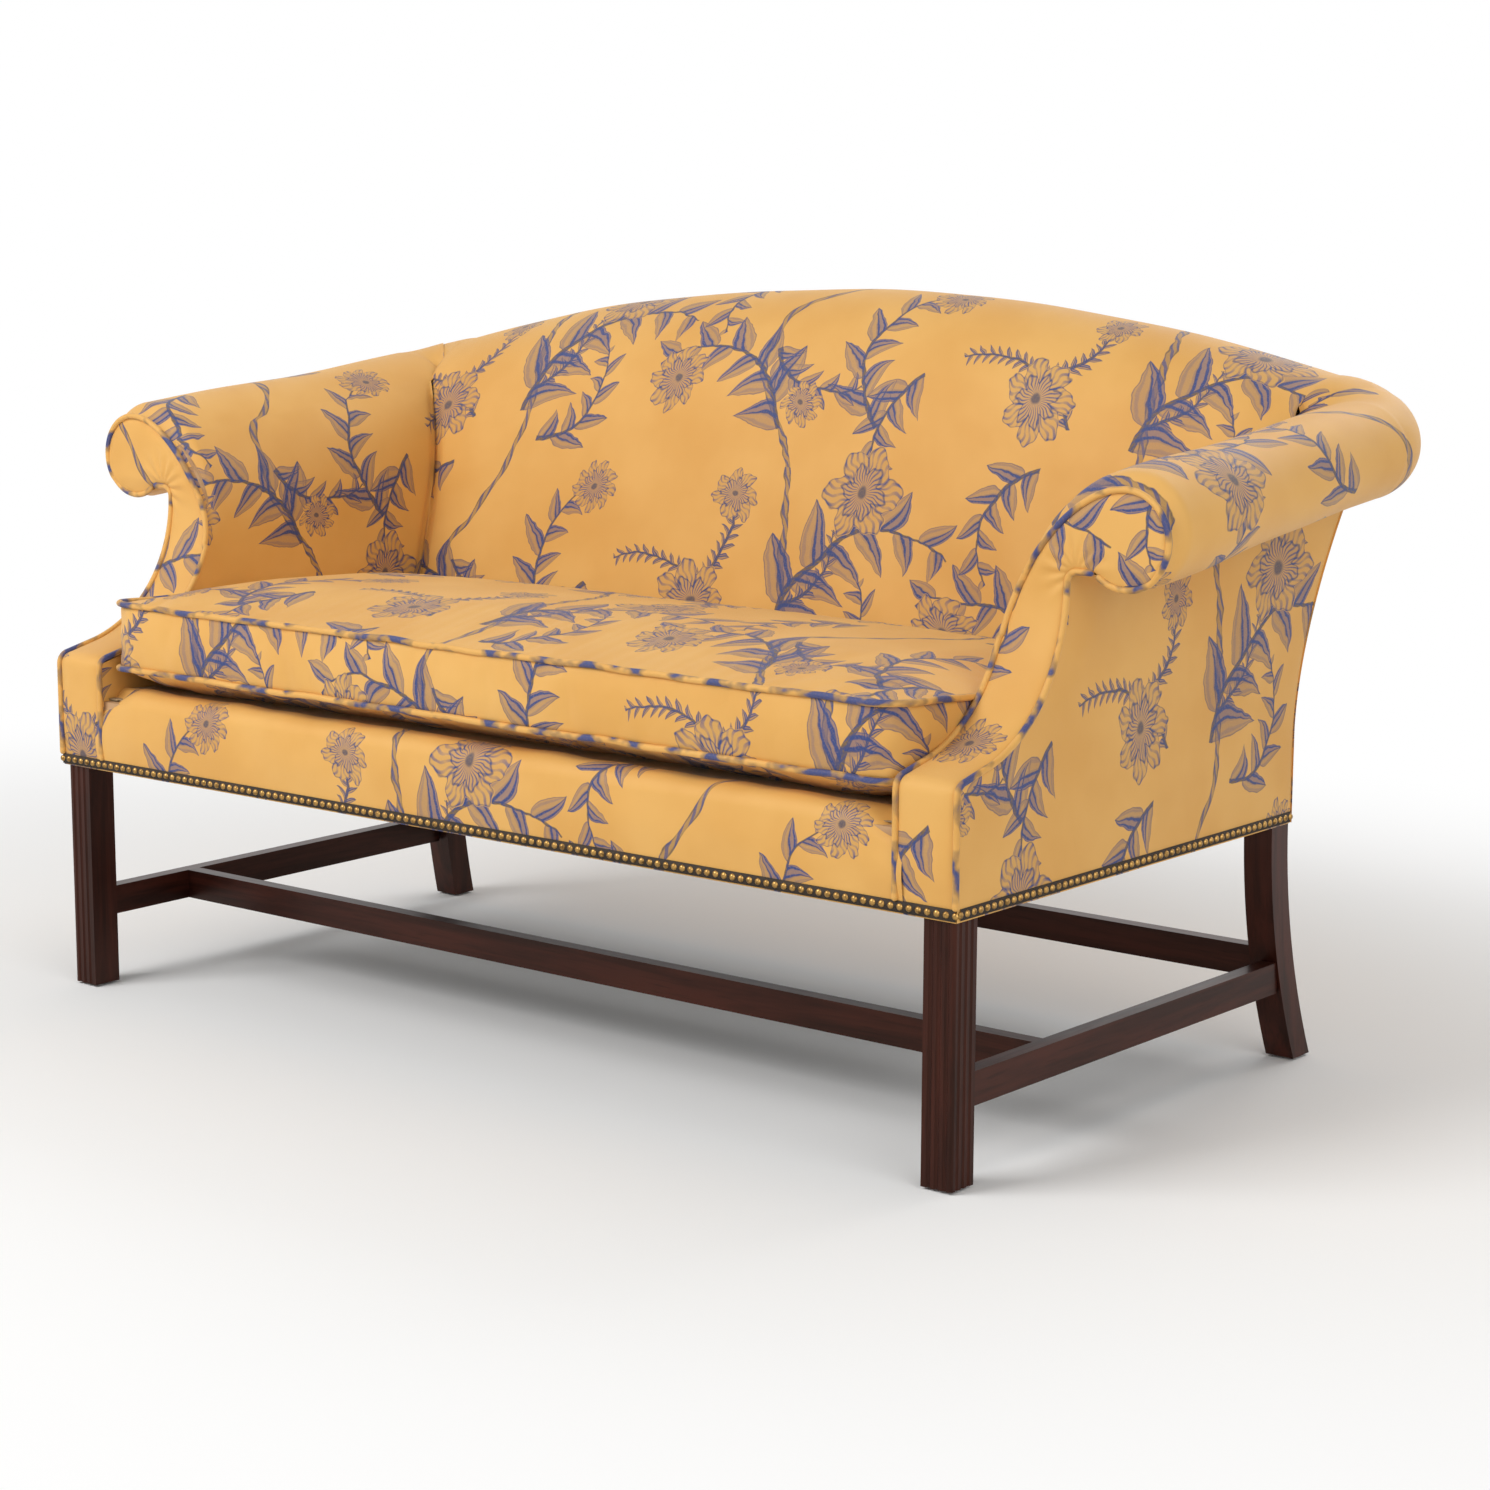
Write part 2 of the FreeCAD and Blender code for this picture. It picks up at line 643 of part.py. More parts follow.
def front_border():
    reach = INNER_X
    face = -S["cover_gap"]
    top = S["rail_top"] + S["lip_rise"]
    deep = S["lip_deep"]
    web = S["rail_top"] + 2 * S["web_thick"] + S["hessian_thick"]
    profile = outline("FrontBorderProfile", [
        V(-reach, y_at(face), top - 16),
        (V(-reach, y_at(face + 4), top - 5), V(-reach, y_at(face + 14), top)),
        V(-reach, y_at(deep - 10), top),
        (V(-reach, y_at(deep - 3), top - 3), V(-reach, y_at(deep - 0.3), top - 9)),
        V(-reach, y_at(deep - 0.3), web),
        V(-reach, y_at(0), web),
        V(-reach, y_at(0), S["cover_bottom"]),
        V(-reach, y_at(face), S["cover_bottom"]),
    ])
    keep("front_border", extruded("FrontBorder", profile, V(1, 0, 0), "2 * " + INSIDE_ARM))


front_border()


# Side view of an arm's front: upright at the leg, sweeping back and up to the scroll

def arm_silhouette(name, shift, drop):
    """Everything behind the arm's front line, moved back by shift and down by drop."""
    face = -S["cover_gap"] + shift
    scroll = S["roll_front"] - S["scroll_ahead"] + shift
    knee = S["rail_top"] + S["knee_rise"] - drop
    low = S["cover_bottom"] - S["web_wide"]
    rise = S["scroll_height"] - S["sweep_end"] - drop
    knee_end = 11
    far = y_at(FAR)
    wire = outline(name, [
        V(0, y_at(face), knee - S["knee_round"]),
        (V(0, y_at(face + S["knee_round"] / 4), knee - S["knee_round"] / 3), V(0, y_at(face + knee_end), knee)),
        V(0, y_at(face + S["step_deep"]), knee + S["step_rise"]),
        (V(0, y_at(scroll - S["sweep_in"]), knee + S["sweep_rise"]), V(0, y_at(scroll), rise)),
        V(0, y_at(scroll), FAR),
        V(0, far, FAR),
        V(0, far, low),
        V(0, y_at(face), low),
    ])
    return extruded(name + "Solid", wire, V(1, 0, 0), "@leg_span")


def facing_outline(name, inset, low):
    """Front view of the arm's facing, from low to the scroll, drawn in by inset."""
    outer = COVER_X - inset
    inner = INNER_X + inset
    radius = S["scroll_radius"] - inset
    middle = ROLL_X
    height = S["scroll_height"]
    diagonal = radius * math.sqrt(0.5)
    throat = height - diagonal
    y = y_at(-100)
    wire = outline(name, [
        V(outer, y, throat - 14),
        (V(outer + 3.5, y, throat - 4), V(outer + 13, y, throat)),
        V(middle - diagonal, y, throat),
        (V(middle + radius * math.sin(math.radians(22.5)), y,
           height - radius * math.cos(math.radians(22.5))),
         V(middle + radius, y, height)),
        (V(middle + diagonal, y, height + diagonal), V(middle - 6, y, height + radius)),
        (V(middle - 103 + inset * 0.6, y, height + 8 - inset * 0.6),
         V(inner + 5, y, height - 115)),
        V(inner, y, low),
        V(outer, y, low),
    ])
    return extruded(name + "Solid", wire, V(0, 1, 0), "@leg_span")


front_plane = arm_silhouette("ArmFront", 0.0, 0.0)
facing_back = arm_silhouette("FacingBack", S["facing_thick"], S["facing_thick"] * 0.8)
stump_back = arm_silhouette("StumpBack", S["facing_thick"] + S["stump_deep"],
                            S["facing_thick"] * 0.8 + S["stump_deep"] * 0.7)
facing_shape = facing_outline("Facing", 0.0, S["cover_bottom"])
stump_shape = facing_outline("Stump", S["stump_inset"], S["rail_top"])

facing_band = boolean("Cut", "FacingBand", front_plane, facing_back)
facing_whole = boolean("Common", "FacingWhole", facing_shape, facing_band)
facing_stops = joined("FacingStops", [NODES["front_leg_right"], NODES["front_rail"]])
both_sides("arm_facing", boolean("Cut", "ArmFacing", facing_whole, facing_stops))

stump_band = boolean("Cut", "StumpBand", facing_back, stump_back)
stump_whole = boolean("Common", "StumpWhole", stump_shape, stump_band)
stump_stops = joined("StumpStops", [NODES["seat_webbing_long"], NODES["seat_webbing_cross"]])
both_sides("arm_stump", boolean("Cut", "ArmStump", stump_whole, stump_stops))


# Sections of the rolled arm and back, measured from the middle of the roll:
# out away from the sitter, and up

def roll_arc(place):
    """The stuffed outline from the inside face over the roll to the throat."""
    r = S["roll_radius"]
    d = r * math.sqrt(0.5)
    return [
        (place(-S["flank_out"], S["flank_up"]), place(-S["crown_in"], r)),
        (place(d, d), place(r, 0)),
        (place(d, -d), place(0, -r)),
        place(-S["throat_in"], S["throat_rise"] - r),
    ]


ARM_TILT = math.atan2(S["roll_rear_height"] - S["roll_front_height"], CORNER_SETBACK - S["roll_front"])
ARM_START = -2 * S["leg_width"]


def arm_point(out, up):
    """A point of the arm's profile, on a plane square to the rising roll."""
    y = y_at(ARM_START) - up * math.sin(ARM_TILT)
    return V(ROLL_X + out, y, arm_height(ARM_START) + up * math.cos(ARM_TILT))


def along_arm(name, steps):
    """A profile pushed along the rising roll, past the rear corner."""
    run = (CORNER_SETBACK - ARM_START) / math.cos(ARM_TILT) + S["leg_width"]
    along = V(0, math.cos(ARM_TILT), math.sin(ARM_TILT))
    return extruded(name, outline(name + "Profile", steps), along, "%f" % run)


def arm_steps(inside):
    """Profile of the arm: the stuffing alone, or filled out to the outside cover."""
    inner = INNER_X - ROLL_X
    panel = inner + S["arm_pad_thick"]
    low = -S["scroll_height"]
    under = -S["board_thick"] * 0.6
    steps = [arm_point(inner, low), arm_point(inner, -2 * S["neck_drop"]),
             arm_point(inner + S["neck_in"], -S["neck_drop"])]
    steps += roll_arc(arm_point)
    if inside:
        steps += [
            arm_point(-S["throat_in"], under),
            arm_point(S["board_nose"] - S["board_wide"], under),
            arm_point(panel, -S["neck_drop"] - S["flank_up"]),
            arm_point(panel, low),
        ]
    else:
        steps += [arm_point(COVER_X - ROLL_X, low)]
    return steps


def board_steps():
    """Profile of the wooden arm board inside the roll, with its rounded outer edge."""
    low = -S["board_thick"] * 0.6
    high = low + S["board_thick"]
    nose = S["board_nose"]
    bend = nose - S["board_thick"] / 2
    return [
        arm_point(bend, low),
        (arm_point(nose, (low + high) / 2), arm_point(bend, high)),
        arm_point(nose - S["board_wide"], high),
        arm_point(nose - S["board_wide"], low),
    ]


past_corner = box("PastCorner",
                  ("0", "@front_line + @back_roll_setback - @corner_radius", "0"),
                  ("@leg_span", "@front_line + 2 * @back_roll_setback", "@leg_span"))
board_whole = along_arm("ArmBoardBlank", board_steps())
board_trim = boolean("Common", "ArmBoardTrim", board_whole, stump_back)
board_stops = joined("BoardStops", [NODES["rear_leg_right"], past_corner])
both_sides("arm_board", boolean("Cut", "ArmBoard", board_trim, board_stops))

panel_x = INSIDE_ARM + " + @arm_pad_thick"
arm_tack = box("ArmLowerRailBlank",
               (panel_x, "@front_line", "@tack_rail_low"),
               (panel_x + " + @rail_thick", "@front_line + @rear_setback", "@tack_rail_low + @tack_rail_tall"))
both_sides("arm_lower_rail", boolean("Common", "ArmLowerRail", arm_tack, stump_back))


def behind_posts():
    """The space behind the front faces of the back posts and below the roll."""
    top = S["roll_rear_height"] - S["roll_radius"]
    bend = S["post_bend"]
    low = S["cover_bottom"] - S["rail_thick"]
    setback = S["rear_setback"]
    wire = outline("BehindPosts", [
        V(0, y_at(setback), low),
        V(0, y_at(setback), bend),
        V(0, y_at(setback + S["post_lean"] * (top - bend)), top),
        V(0, y_at(FAR), top),
        V(0, y_at(FAR), low),
    ])
    return extruded("BehindPostsSolid", wire, V(1, 0, 0), "@leg_span")


seat_top = 2 * S["web_thick"] + S["hessian_thick"]
below_seat = sloped_box("BelowSeat", 0.0, FAR, -S["leg_width"], FAR, -S["leg_span"] / 4,
                        S["leg_span"] / 4 + seat_top)
arm_stops = joined("ArmStops", [below_seat, behind_posts(), past_corner])


def arm_whole(name, inside):
    """The arm's stuffing, or the whole space of the arm, behind the facing and above the seat."""
    blank = along_arm(name + "Blank", arm_steps(inside))
    trimmed = boolean("Common", name + "Trim", blank, facing_back)
    return boolean("Cut", name, trimmed, arm_stops)


arm_body = arm_whole("ArmBody", True)
arm_space = arm_whole("ArmSpace", False)


# Back: the same section with a lean, along the arched crest

def back_section(name, x):
    """Stuffing of the back on an upright plane from front to back."""
    height, setback = crest_at(x)
    middle = y_at(setback)
    foot, base = back_foot(x)
    rail_back = middle - S["crest_rail_in"]
    rail_front = rail_back - S["crest_rail_thick"]

    def place(out, up):
        return V(x, middle + out, height + up)

    steps = [V(x, y_at(foot), base), place(-S["back_deep"], -S["neck_drop"])]
    steps += roll_arc(place)
    steps += [
        V(x, rail_back, height + S["throat_rise"] - S["roll_radius"]),
        V(x, rail_back, height),
        V(x, rail_front, height),
        V(x, rail_front, height - S["crest_rail_tall"]),
        V(x, y_at(S["rear_setback"]), base),
    ]
    return outline(name, steps)


def crest_section(name, x):
    """The wooden crest rail on the same plane."""
    height, setback = crest_at(x)
    back = y_at(setback) - S["crest_rail_in"]
    front = back - S["crest_rail_thick"]
    low = height - S["crest_rail_tall"]
    return outline(name, [V(x, back, height), V(x, front, height), V(x, front, low), V(x, back, low)])


RAIL_END = S["leg_span"] / 2 - S["rear_leg_width"]
SPANS = 10


def crest_places(end):
    """Evenly spaced distances from the middle along the crest, with the two ends moved to end."""
    inner = [(2.0 * index / SPANS - 1) * CORNER_X for index in range(1, SPANS)]
    return [-end] + inner + [end]


keep("crest_rail", lofted("CrestRail", [crest_section("CrestRail%d" % index, x)
                                        for index, x in enumerate(crest_places(RAIL_END))], True))
back_blank = lofted("BackPadBlank", [back_section("BackPad%d" % index, x)
                                     for index, x in enumerate(crest_places(CORNER_X))], True)


# Rear corners of the roll, turned about an upright axis

TURNS = 8
CORE = 2.0


def corner_section(name, turn):
    """The roll on a plane through the corner's axis, turned from the arm (0) to the back (90)."""
    share = turn / 90.0
    angle = math.radians(turn)
    height = S["roll_rear_height"] + share * (S["crest_end_height"] - S["roll_rear_height"])
    reach = S["corner_radius"]
    near = CORE
    r = S["roll_radius"]
    d = r * math.sqrt(0.5)

    def place(out, up):
        run = reach + out
        return V(CORNER_X + run * math.cos(angle), y_at(CORNER_SETBACK) + run * math.sin(angle), height + up)

    return outline(name, [
        place(near - reach, r / 2),
        (place(-S["flank_out"] / 2, r * 0.87), place(-S["crown_in"], r)),
        (place(d, d), place(r, 0)),
        (place(d, -d), place(0, -r)),
        place(near - reach, S["throat_rise"] / 2 - r),
    ])


corner_blank = lofted("RollCornerBlank", [corner_section("RollCorner%d" % index, 90.0 * index / TURNS)
                                          for index in range(TURNS + 1)], True)


# Outside covers, flaring out at the rear corners to meet the roll

COVER_LAP = 6.0
CORNER_FLARE = 44.0
ARM_BOW = 0.25
CORNER_BOW = 0.31
BACK_BOW = 0.40


def arm_cover_section(name, setback):
    """The outside arm's cover on an upright plane across the arm."""
    y = y_at(setback)
    thick = S["cover_thick"]
    low = S["cover_bottom"]
    bend = S["post_bend"] + 20
    top = arm_height(setback) + S["throat_rise"] - S["roll_radius"] + COVER_LAP
    flare = ROLL_X - S["throat_in"] - COVER_X
    middle = (bend + top) / 2
    return outline(name, [
        V(COVER_X, y, bend),
        (V(COVER_X + flare * ARM_BOW, y, middle), V(COVER_X + flare, y, top)),
        V(COVER_X + flare - thick, y, top),
        (V(COVER_X + flare * ARM_BOW - thick, y, middle), V(COVER_X - thick, y, bend)),
        V(COVER_X - thick, y, low),
        V(COVER_X, y, low),
    ])


def corner_cover_section(name, side):
    """The meeting edge of the outside covers, on the diagonal plane through the corner."""
    thick = S["cover_thick"]
    low = S["cover_bottom"]
    bend = S["post_bend"]
    turn_height = (S["roll_rear_height"] + S["crest_end_height"]) / 2
    top = turn_height - S["roll_radius"] + COVER_LAP
    flare = CORNER_FLARE
    middle = (bend + top) / 2

    def place(out, up):
        return V(side * (COVER_X + out), y_at(COVER_BACK) + out, up)

    return outline(name, [
        place(0, bend),
        (place(flare * CORNER_BOW, middle), place(flare, top)),
        place(flare - thick, top),
        (place(flare * CORNER_BOW - thick, middle), place(-thick, bend)),
        place(-thick, low),
        place(0, low),
    ])


def back_cover_section(name, x):
    """The outside back's cover on an upright plane from front to back."""
    height, setback = crest_at(x)
    thick = S["cover_thick"]
    low = S["cover_bottom"]
    bend = S["post_bend"]
    top = height + S["throat_rise"] - S["roll_radius"] + COVER_LAP
    start = y_at(COVER_BACK)
    stop = y_at(setback) - S["throat_in"]
    middle = (bend + top) / 2
    bow = start + (stop - start) * BACK_BOW
    return outline(name, [
        V(x, start, bend),
        (V(x, bow, middle), V(x, stop, top)),
        V(x, stop - thick, top),
        (V(x, bow - thick, middle), V(x, start - thick, bend)),
        V(x, start - thick, low),
        V(x, start, low),
    ])


arm_cover_front = lofted("OutsideArmFront", [arm_cover_section("ArmCover0", -S["cover_gap"]),
                                             arm_cover_section("ArmCover1", 420.0)], True)
arm_cover_rear = lofted("OutsideArmRear", [arm_cover_section("ArmCover2", 420.0),
                                           corner_cover_section("ArmCover3", 1)], True)
arm_cover = boolean("Fuse", "OutsideArmWhole", arm_cover_front, arm_cover_rear)
arm_cover_cut = boolean("Common", "OutsideArmTrim", arm_cover, facing_back)

back_cover_wires = [back_cover_section("BackCover%d" % index, x)
                    for index, x in enumerate(crest_places(CORNER_X))]
back_cover = lofted("OutsideBackWhole", [corner_cover_section("BackCoverLeft", -1)] + back_cover_wires
                    + [corner_cover_section("BackCoverRight", 1)], True)


# Lower rail and uprights of the back

back_tack = box("BackLowerRail",
                ("-(%s - @rear_leg_width)" % LEG, "@front_line + @rear_setback", "@tack_rail_low"),
                (LEG + " - @rear_leg_width", "@front_line + @rear_setback + @rail_thick",
                 "@tack_rail_low + @tack_rail_tall"))
keep("back_lower_rail", back_tack)


def back_upright():
    """A slat from the lower rail up to the crest rail, leaning with the back."""
    height, setback = crest_at(S["upright_offset"])
    near = S["upright_offset"] - S["upright_wide"] / 2
    low = S["tack_rail_low"] + S["tack_rail_tall"]
    high = height - S["crest_rail_tall"] + S["upright_thick"] / 2
    foot = S["rear_setback"] + (S["rail_thick"] - S["upright_thick"]) / 2
    head = setback - S["crest_rail_in"] - (S["crest_rail_thick"] + S["upright_thick"]) / 2
    face = outline("UprightFace", [
        V(near, y_at(foot), low),
        V(near, y_at(head), high),
        V(near, y_at(head + S["upright_thick"]), high),
        V(near, y_at(foot + S["upright_thick"]), low),
    ])
    blank = extruded("UprightBlank", face, V(1, 0, 0), "@upright_wide")
    return boolean("Cut", "Upright", blank, NODES["crest_rail"])


upright = back_upright()
keep("back_uprights", group("BackUprights", [upright, mirrored("UprightLeft", upright)]))


# Stuffing, cut round the frame that it covers

arm_frame = joined("ArmFrame", [NODES["arm_stump_right"], NODES["arm_board_right"],
                                NODES["rear_leg_right"], NODES["arm_lower_rail_right"],
                                NODES["crest_rail"], NODES["back_lower_rail"]])
both_sides("arm_pad", boolean("Cut", "ArmPad", arm_body, arm_frame))

corner_frame = joined("CornerFrame", [NODES["rear_leg_right"], NODES["arm_board_right"]])
both_sides("roll_corner", boolean("Cut", "RollCorner", corner_blank, corner_frame))

back_frame = joined("BackFrame", [NODES["crest_rail"], NODES["back_uprights"], NODES["back_lower_rail"],
                                  NODES["rear_leg_right"], NODES["rear_leg_left"], NODES["deck_pad"],
                                  arm_space, mirrored("ArmSpaceLeft", arm_space),
                                  NODES["arm_board_right"], NODES["arm_board_left"],
                                  corner_blank, NODES["roll_corner_left"]])
keep("back_pad", boolean("Cut", "BackPad", back_blank, back_frame))

cover_stops = joined("CoverStops", [arm_body, corner_blank, NODES["rear_leg_right"],
                                    NODES["arm_stump_right"]])
outside_arm = boolean("Cut", "OutsideArm", arm_cover_cut, cover_stops)
both_sides("outside_arm", outside_arm)
back_stops = joined("BackStops", [back_blank, corner_blank, NODES["roll_corner_left"],
                                  NODES["outside_arm_right"], NODES["outside_arm_left"],
                                  NODES["rear_leg_right"], NODES["rear_leg_left"]])
keep("outside_back", boolean("Cut", "OutsideBack", back_cover, back_stops))


# Bands of close-set nails along the front and the two sides

band_low = "@cover_bottom + @nail_band_rise"
band_high = band_low + " + @nail_band_tall"
cover_side = LEG + " + @cover_gap"
keep("nail_band_front", box("NailBandFront",
                            ("-(%s)" % cover_side, "@front_line - @cover_gap - @nail_band_thick", band_low),
                            (cover_side, "@front_line - @cover_gap", band_high)))
band_side = box("NailBandSide",
                (cover_side, "@front_line - @cover_gap - @nail_band_thick", band_low),
                (cover_side + " + @nail_band_thick", "@front_line + %f" % REAR_BACK, band_high))
both_sides("nail_band", band_side)


# Dust cloth under the seat

def dust_cloth():
    turned_in = 4
    half = S["leg_span"] / 2 - turned_in
    leg = S["leg_width"] - turned_in
    front = y_at(turned_in)
    back = y_at(REAR_BACK - turned_in)
    rear_notch = S["rear_leg_width"] - turned_in
    low = S["rail_bottom"] - S["dust_thick"]
    points = [
        V(half - leg, front, low), V(half - leg, y_at(S["leg_width"]), low),
        V(half, y_at(S["leg_width"]), low), V(half, y_at(S["rear_setback"]), low),
        V(half - rear_notch, y_at(S["rear_setback"]), low), V(half - rear_notch, back, low),
    ]
    points += [V(-point.x, point.y, point.z) for point in reversed(points)]
    keep("dust_cloth", extruded("DustCloth", outline("DustPlan", points), V(0, 0, 1), "@dust_thick"))


dust_cloth()


# Bench cushion: a crowned block with drawn-in sides, made level and then laid on the sloping deck

END_FALL = 0.85
STATIONS = (0.0, 0.35, 0.7)
CORNER_STATIONS = (0.45, 0.75, 0.93, 1.0)


def cushion_wire(name, share, inset):
    """Section across the cushion at a share of its half width, drawn in by inset."""
    half = CUSHION_X - inset
    x = share * half
    corner = S["cushion_corner"]
    past = max(0.0, abs(x) - (half - corner))
    round_in = corner - math.sqrt(max(corner * corner - past * past, 0.0))
    front = inset + round_in
    back = S["cushion_deep"] - inset - round_in
    edge = S["cushion_edge"] / 2 - inset * 0.3
    swell = 1 - END_FALL * abs(share) ** 4
    crown = S["cushion_crown"] * swell - inset * 0.5
    belly = S["cushion_belly"] * swell - inset * 0.5
    draw = S["cushion_draw"]
    middle = (front + back) / 2
    return outline(name, [
        (V(x, front + draw, 0), V(x, front, edge)),
        (V(x, middle, edge + crown), V(x, back, edge)),
        (V(x, back - draw, 0), V(x, back, -edge)),
        (V(x, middle, -edge - belly), V(x, front, -edge)),
    ])


def cushion_block(name, inset):
    """The whole cushion, or with an inset the core inside its panels."""
    straight = 1 - S["cushion_corner"] / CUSHION_X
    near = list(STATIONS) + [straight]
    near += [straight + (1 - straight) * step for step in CORNER_STATIONS]
    shares = [-share for share in reversed(near[1:])] + near
    wires = [cushion_wire("%s%d" % (name, index), share, inset) for index, share in enumerate(shares)]
    return lofted(name, wires, True)


def slab(name, low, high):
    """A level slice of space, to divide the cushion at its piped edges."""
    thing = doc.addObject("Part::Box", name)
    thing.Length = 2 * FAR
    thing.Width = 2 * FAR
    thing.Height = high - low
    thing.Placement.Base = V(-FAR, -FAR, low)
    return thing


def cushion():
    whole = cushion_block("CushionWhole", 0.0)
    core = cushion_block("CushionCore", S["cushion_skin"])
    skin = boolean("Cut", "CushionSkin", whole, core)
    edge = S["cushion_edge"] / 2
    seam = edge - S["seam_in"]
    top = boolean("Common", "CushionTop", skin, slab("AboveEdge", seam, FAR))
    side = boolean("Common", "CushionSide", skin, slab("BetweenEdges", -seam, seam))
    bottom = boolean("Common", "CushionBottom", skin, slab("BelowEdge", -FAR, -seam))
    zip_y = S["cushion_deep"] - S["cushion_draw"] * (1 - (S["zip_tall"] / S["cushion_edge"]) ** 2)
    tape = doc.addObject("Part::Box", "ZipTape")
    bind(tape, "Length", "@zip_long")
    bind(tape, "Width", "@zip_thick")
    bind(tape, "Height", "@zip_tall")
    tape.Placement.Base = V(-S["zip_long"] / 2, zip_y + S["zip_air"], -S["zip_tall"] / 2)
    closed = S["zip_stop"] - S["zip_long"] / 2
    slider_y = zip_y + S["zip_thick"] + 2 * S["zip_air"]
    tab_y = slider_y + (S["slider_thick"] - S["tab_thick"]) / 2 + 0.5
    tab_tall = S["slider_tall"] * 0.6
    slider_body = Part.makeBox(S["slider_long"], S["slider_thick"], S["slider_tall"],
                               V(closed, slider_y, -S["slider_tall"] / 2))
    tab = Part.makeBox(S["slider_tab"], S["tab_thick"], tab_tall,
                       V(closed + S["slider_long"] - 1, tab_y, -tab_tall / 2))
    slider = doc.addObject("Part::Feature", "ZipSlider")
    slider.Shape = slider_body.fuse(tab).removeSplitter()
    rest = (2 * S["web_thick"] + S["hessian_thick"] + S["deck_thick"] + S["deck_cover_thick"]
            + S["cushion_gap"] + edge + S["cushion_belly"])
    lift = V(0, y_at(S["cushion_setback"]), deck_height(0) + rest)
    turn = FreeCAD.Rotation(V(1, 0, 0), -S["seat_pitch"])
    for label, thing in (("cushion_core", core), ("cushion_top", top), ("cushion_side", side),
                         ("cushion_bottom", bottom), ("cushion_zip", tape), ("zip_slider", slider)):
        laid = group("Laid" + label, [thing])
        laid.Placement = FreeCAD.Placement(lift, turn)
        keep(label, laid)


cushion()


# Checks, then one file for each sub-part

doc.recompute()
bad = [thing.Label for thing in doc.Objects if "Invalid" in thing.State or "Error" in thing.State]
for label, thing in NODES.items():
    if thing.Shape.isNull() or not thing.Shape.isValid() or not thing.Shape.Solids:
        bad.append(label)
if bad:
    raise RuntimeError("failed: " + ", ".join(bad))

os.makedirs("parts", exist_ok=True)
for label, thing in NODES.items():
    print("%-22s %2d solids %9.1f cm3" % (label, len(thing.Shape.Solids), thing.Shape.Volume / 1000))
    thing.Shape.exportStep("parts/%s.step" % label)
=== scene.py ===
# %% [markdown]
# # A camelback sofa with rolled arms
# The frame holds the real sizes. This script dresses it: stuffed and covered arms and back, piping, brass
# nails, polished legs and one loose cushion. First the frame is loaded and the box of a front leg is read.

# %% Load the frame
import math

import bmesh
import bpy
import numpy as np
from mathutils import Matrix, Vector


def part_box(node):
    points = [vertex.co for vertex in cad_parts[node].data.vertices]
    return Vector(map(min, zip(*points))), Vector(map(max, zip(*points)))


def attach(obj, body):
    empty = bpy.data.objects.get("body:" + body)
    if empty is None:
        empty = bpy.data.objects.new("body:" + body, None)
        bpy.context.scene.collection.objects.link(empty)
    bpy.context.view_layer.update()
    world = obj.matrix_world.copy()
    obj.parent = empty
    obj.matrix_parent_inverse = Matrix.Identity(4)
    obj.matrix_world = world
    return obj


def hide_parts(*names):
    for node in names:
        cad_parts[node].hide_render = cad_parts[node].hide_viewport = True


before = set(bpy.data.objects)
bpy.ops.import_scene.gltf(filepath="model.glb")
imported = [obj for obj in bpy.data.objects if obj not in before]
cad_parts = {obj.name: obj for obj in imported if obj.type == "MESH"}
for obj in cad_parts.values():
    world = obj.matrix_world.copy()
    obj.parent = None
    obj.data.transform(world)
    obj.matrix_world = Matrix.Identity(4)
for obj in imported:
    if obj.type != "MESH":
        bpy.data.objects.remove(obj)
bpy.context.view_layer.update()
leg_low, leg_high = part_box("front_leg_right")
FRONT = leg_low.y
HALF = leg_high.x
print("front line", round(FRONT, 4), "half width over the legs", round(HALF, 4))

# %% [markdown]
# ## Grids of points
# Every new surface here is a rectangular sheet of points, worked out as whole arrays. One function turns
# such a sheet into a mesh. The flat place of each point on the cloth goes into a UV map, in metres, so
# that a printed pattern keeps its size and turns with the cloth.

# %% Turn a grid into a mesh


def surface(name, points, cloth, wrap=False, flip=False, weld=2e-5):
    """A mesh from points (rows, columns, 3): each face joins four neighbours. With wrap the last row meets
    the first. cloth (rows, columns, 2), with one more row under wrap, is the place on the flat cloth in
    metres. Points nearer than weld are merged, which closes seams and poles."""
    rows, columns = points.shape[:2]
    faces_down = rows if wrap else rows - 1
    i, j = np.meshgrid(np.arange(faces_down), np.arange(columns - 1), indexing="ij")
    corners = [(i, j), (i + 1, j), (i + 1, j + 1), (i, j + 1)]
    if flip:
        corners.reverse()
    vertex = np.stack([(a % rows) * columns + b for a, b in corners], -1).reshape(-1, 4)
    mesh = bpy.data.meshes.new(name)
    mesh.vertices.add(rows * columns)
    mesh.vertices.foreach_set("co", points.astype(np.float32).ravel())
    mesh.loops.add(vertex.size)
    mesh.loops.foreach_set("vertex_index", vertex.astype(np.int32).ravel())
    mesh.polygons.add(len(vertex))
    mesh.polygons.foreach_set("loop_start", np.arange(0, vertex.size, 4, dtype=np.int32))
    mesh.update(calc_edges=True)
    flat = np.stack([cloth[a, b] for a, b in corners], -2).reshape(-1, 2)
    mesh.uv_layers.new(name="Cloth").data.foreach_set("uv", flat.astype(np.float32).ravel())
    mesh.polygons.foreach_set("use_smooth", np.ones(len(vertex), bool))
    thing = bpy.data.objects.new(name, mesh)
    bpy.context.scene.collection.objects.link(thing)
    if weld:
        close_up(thing, weld)
    return thing


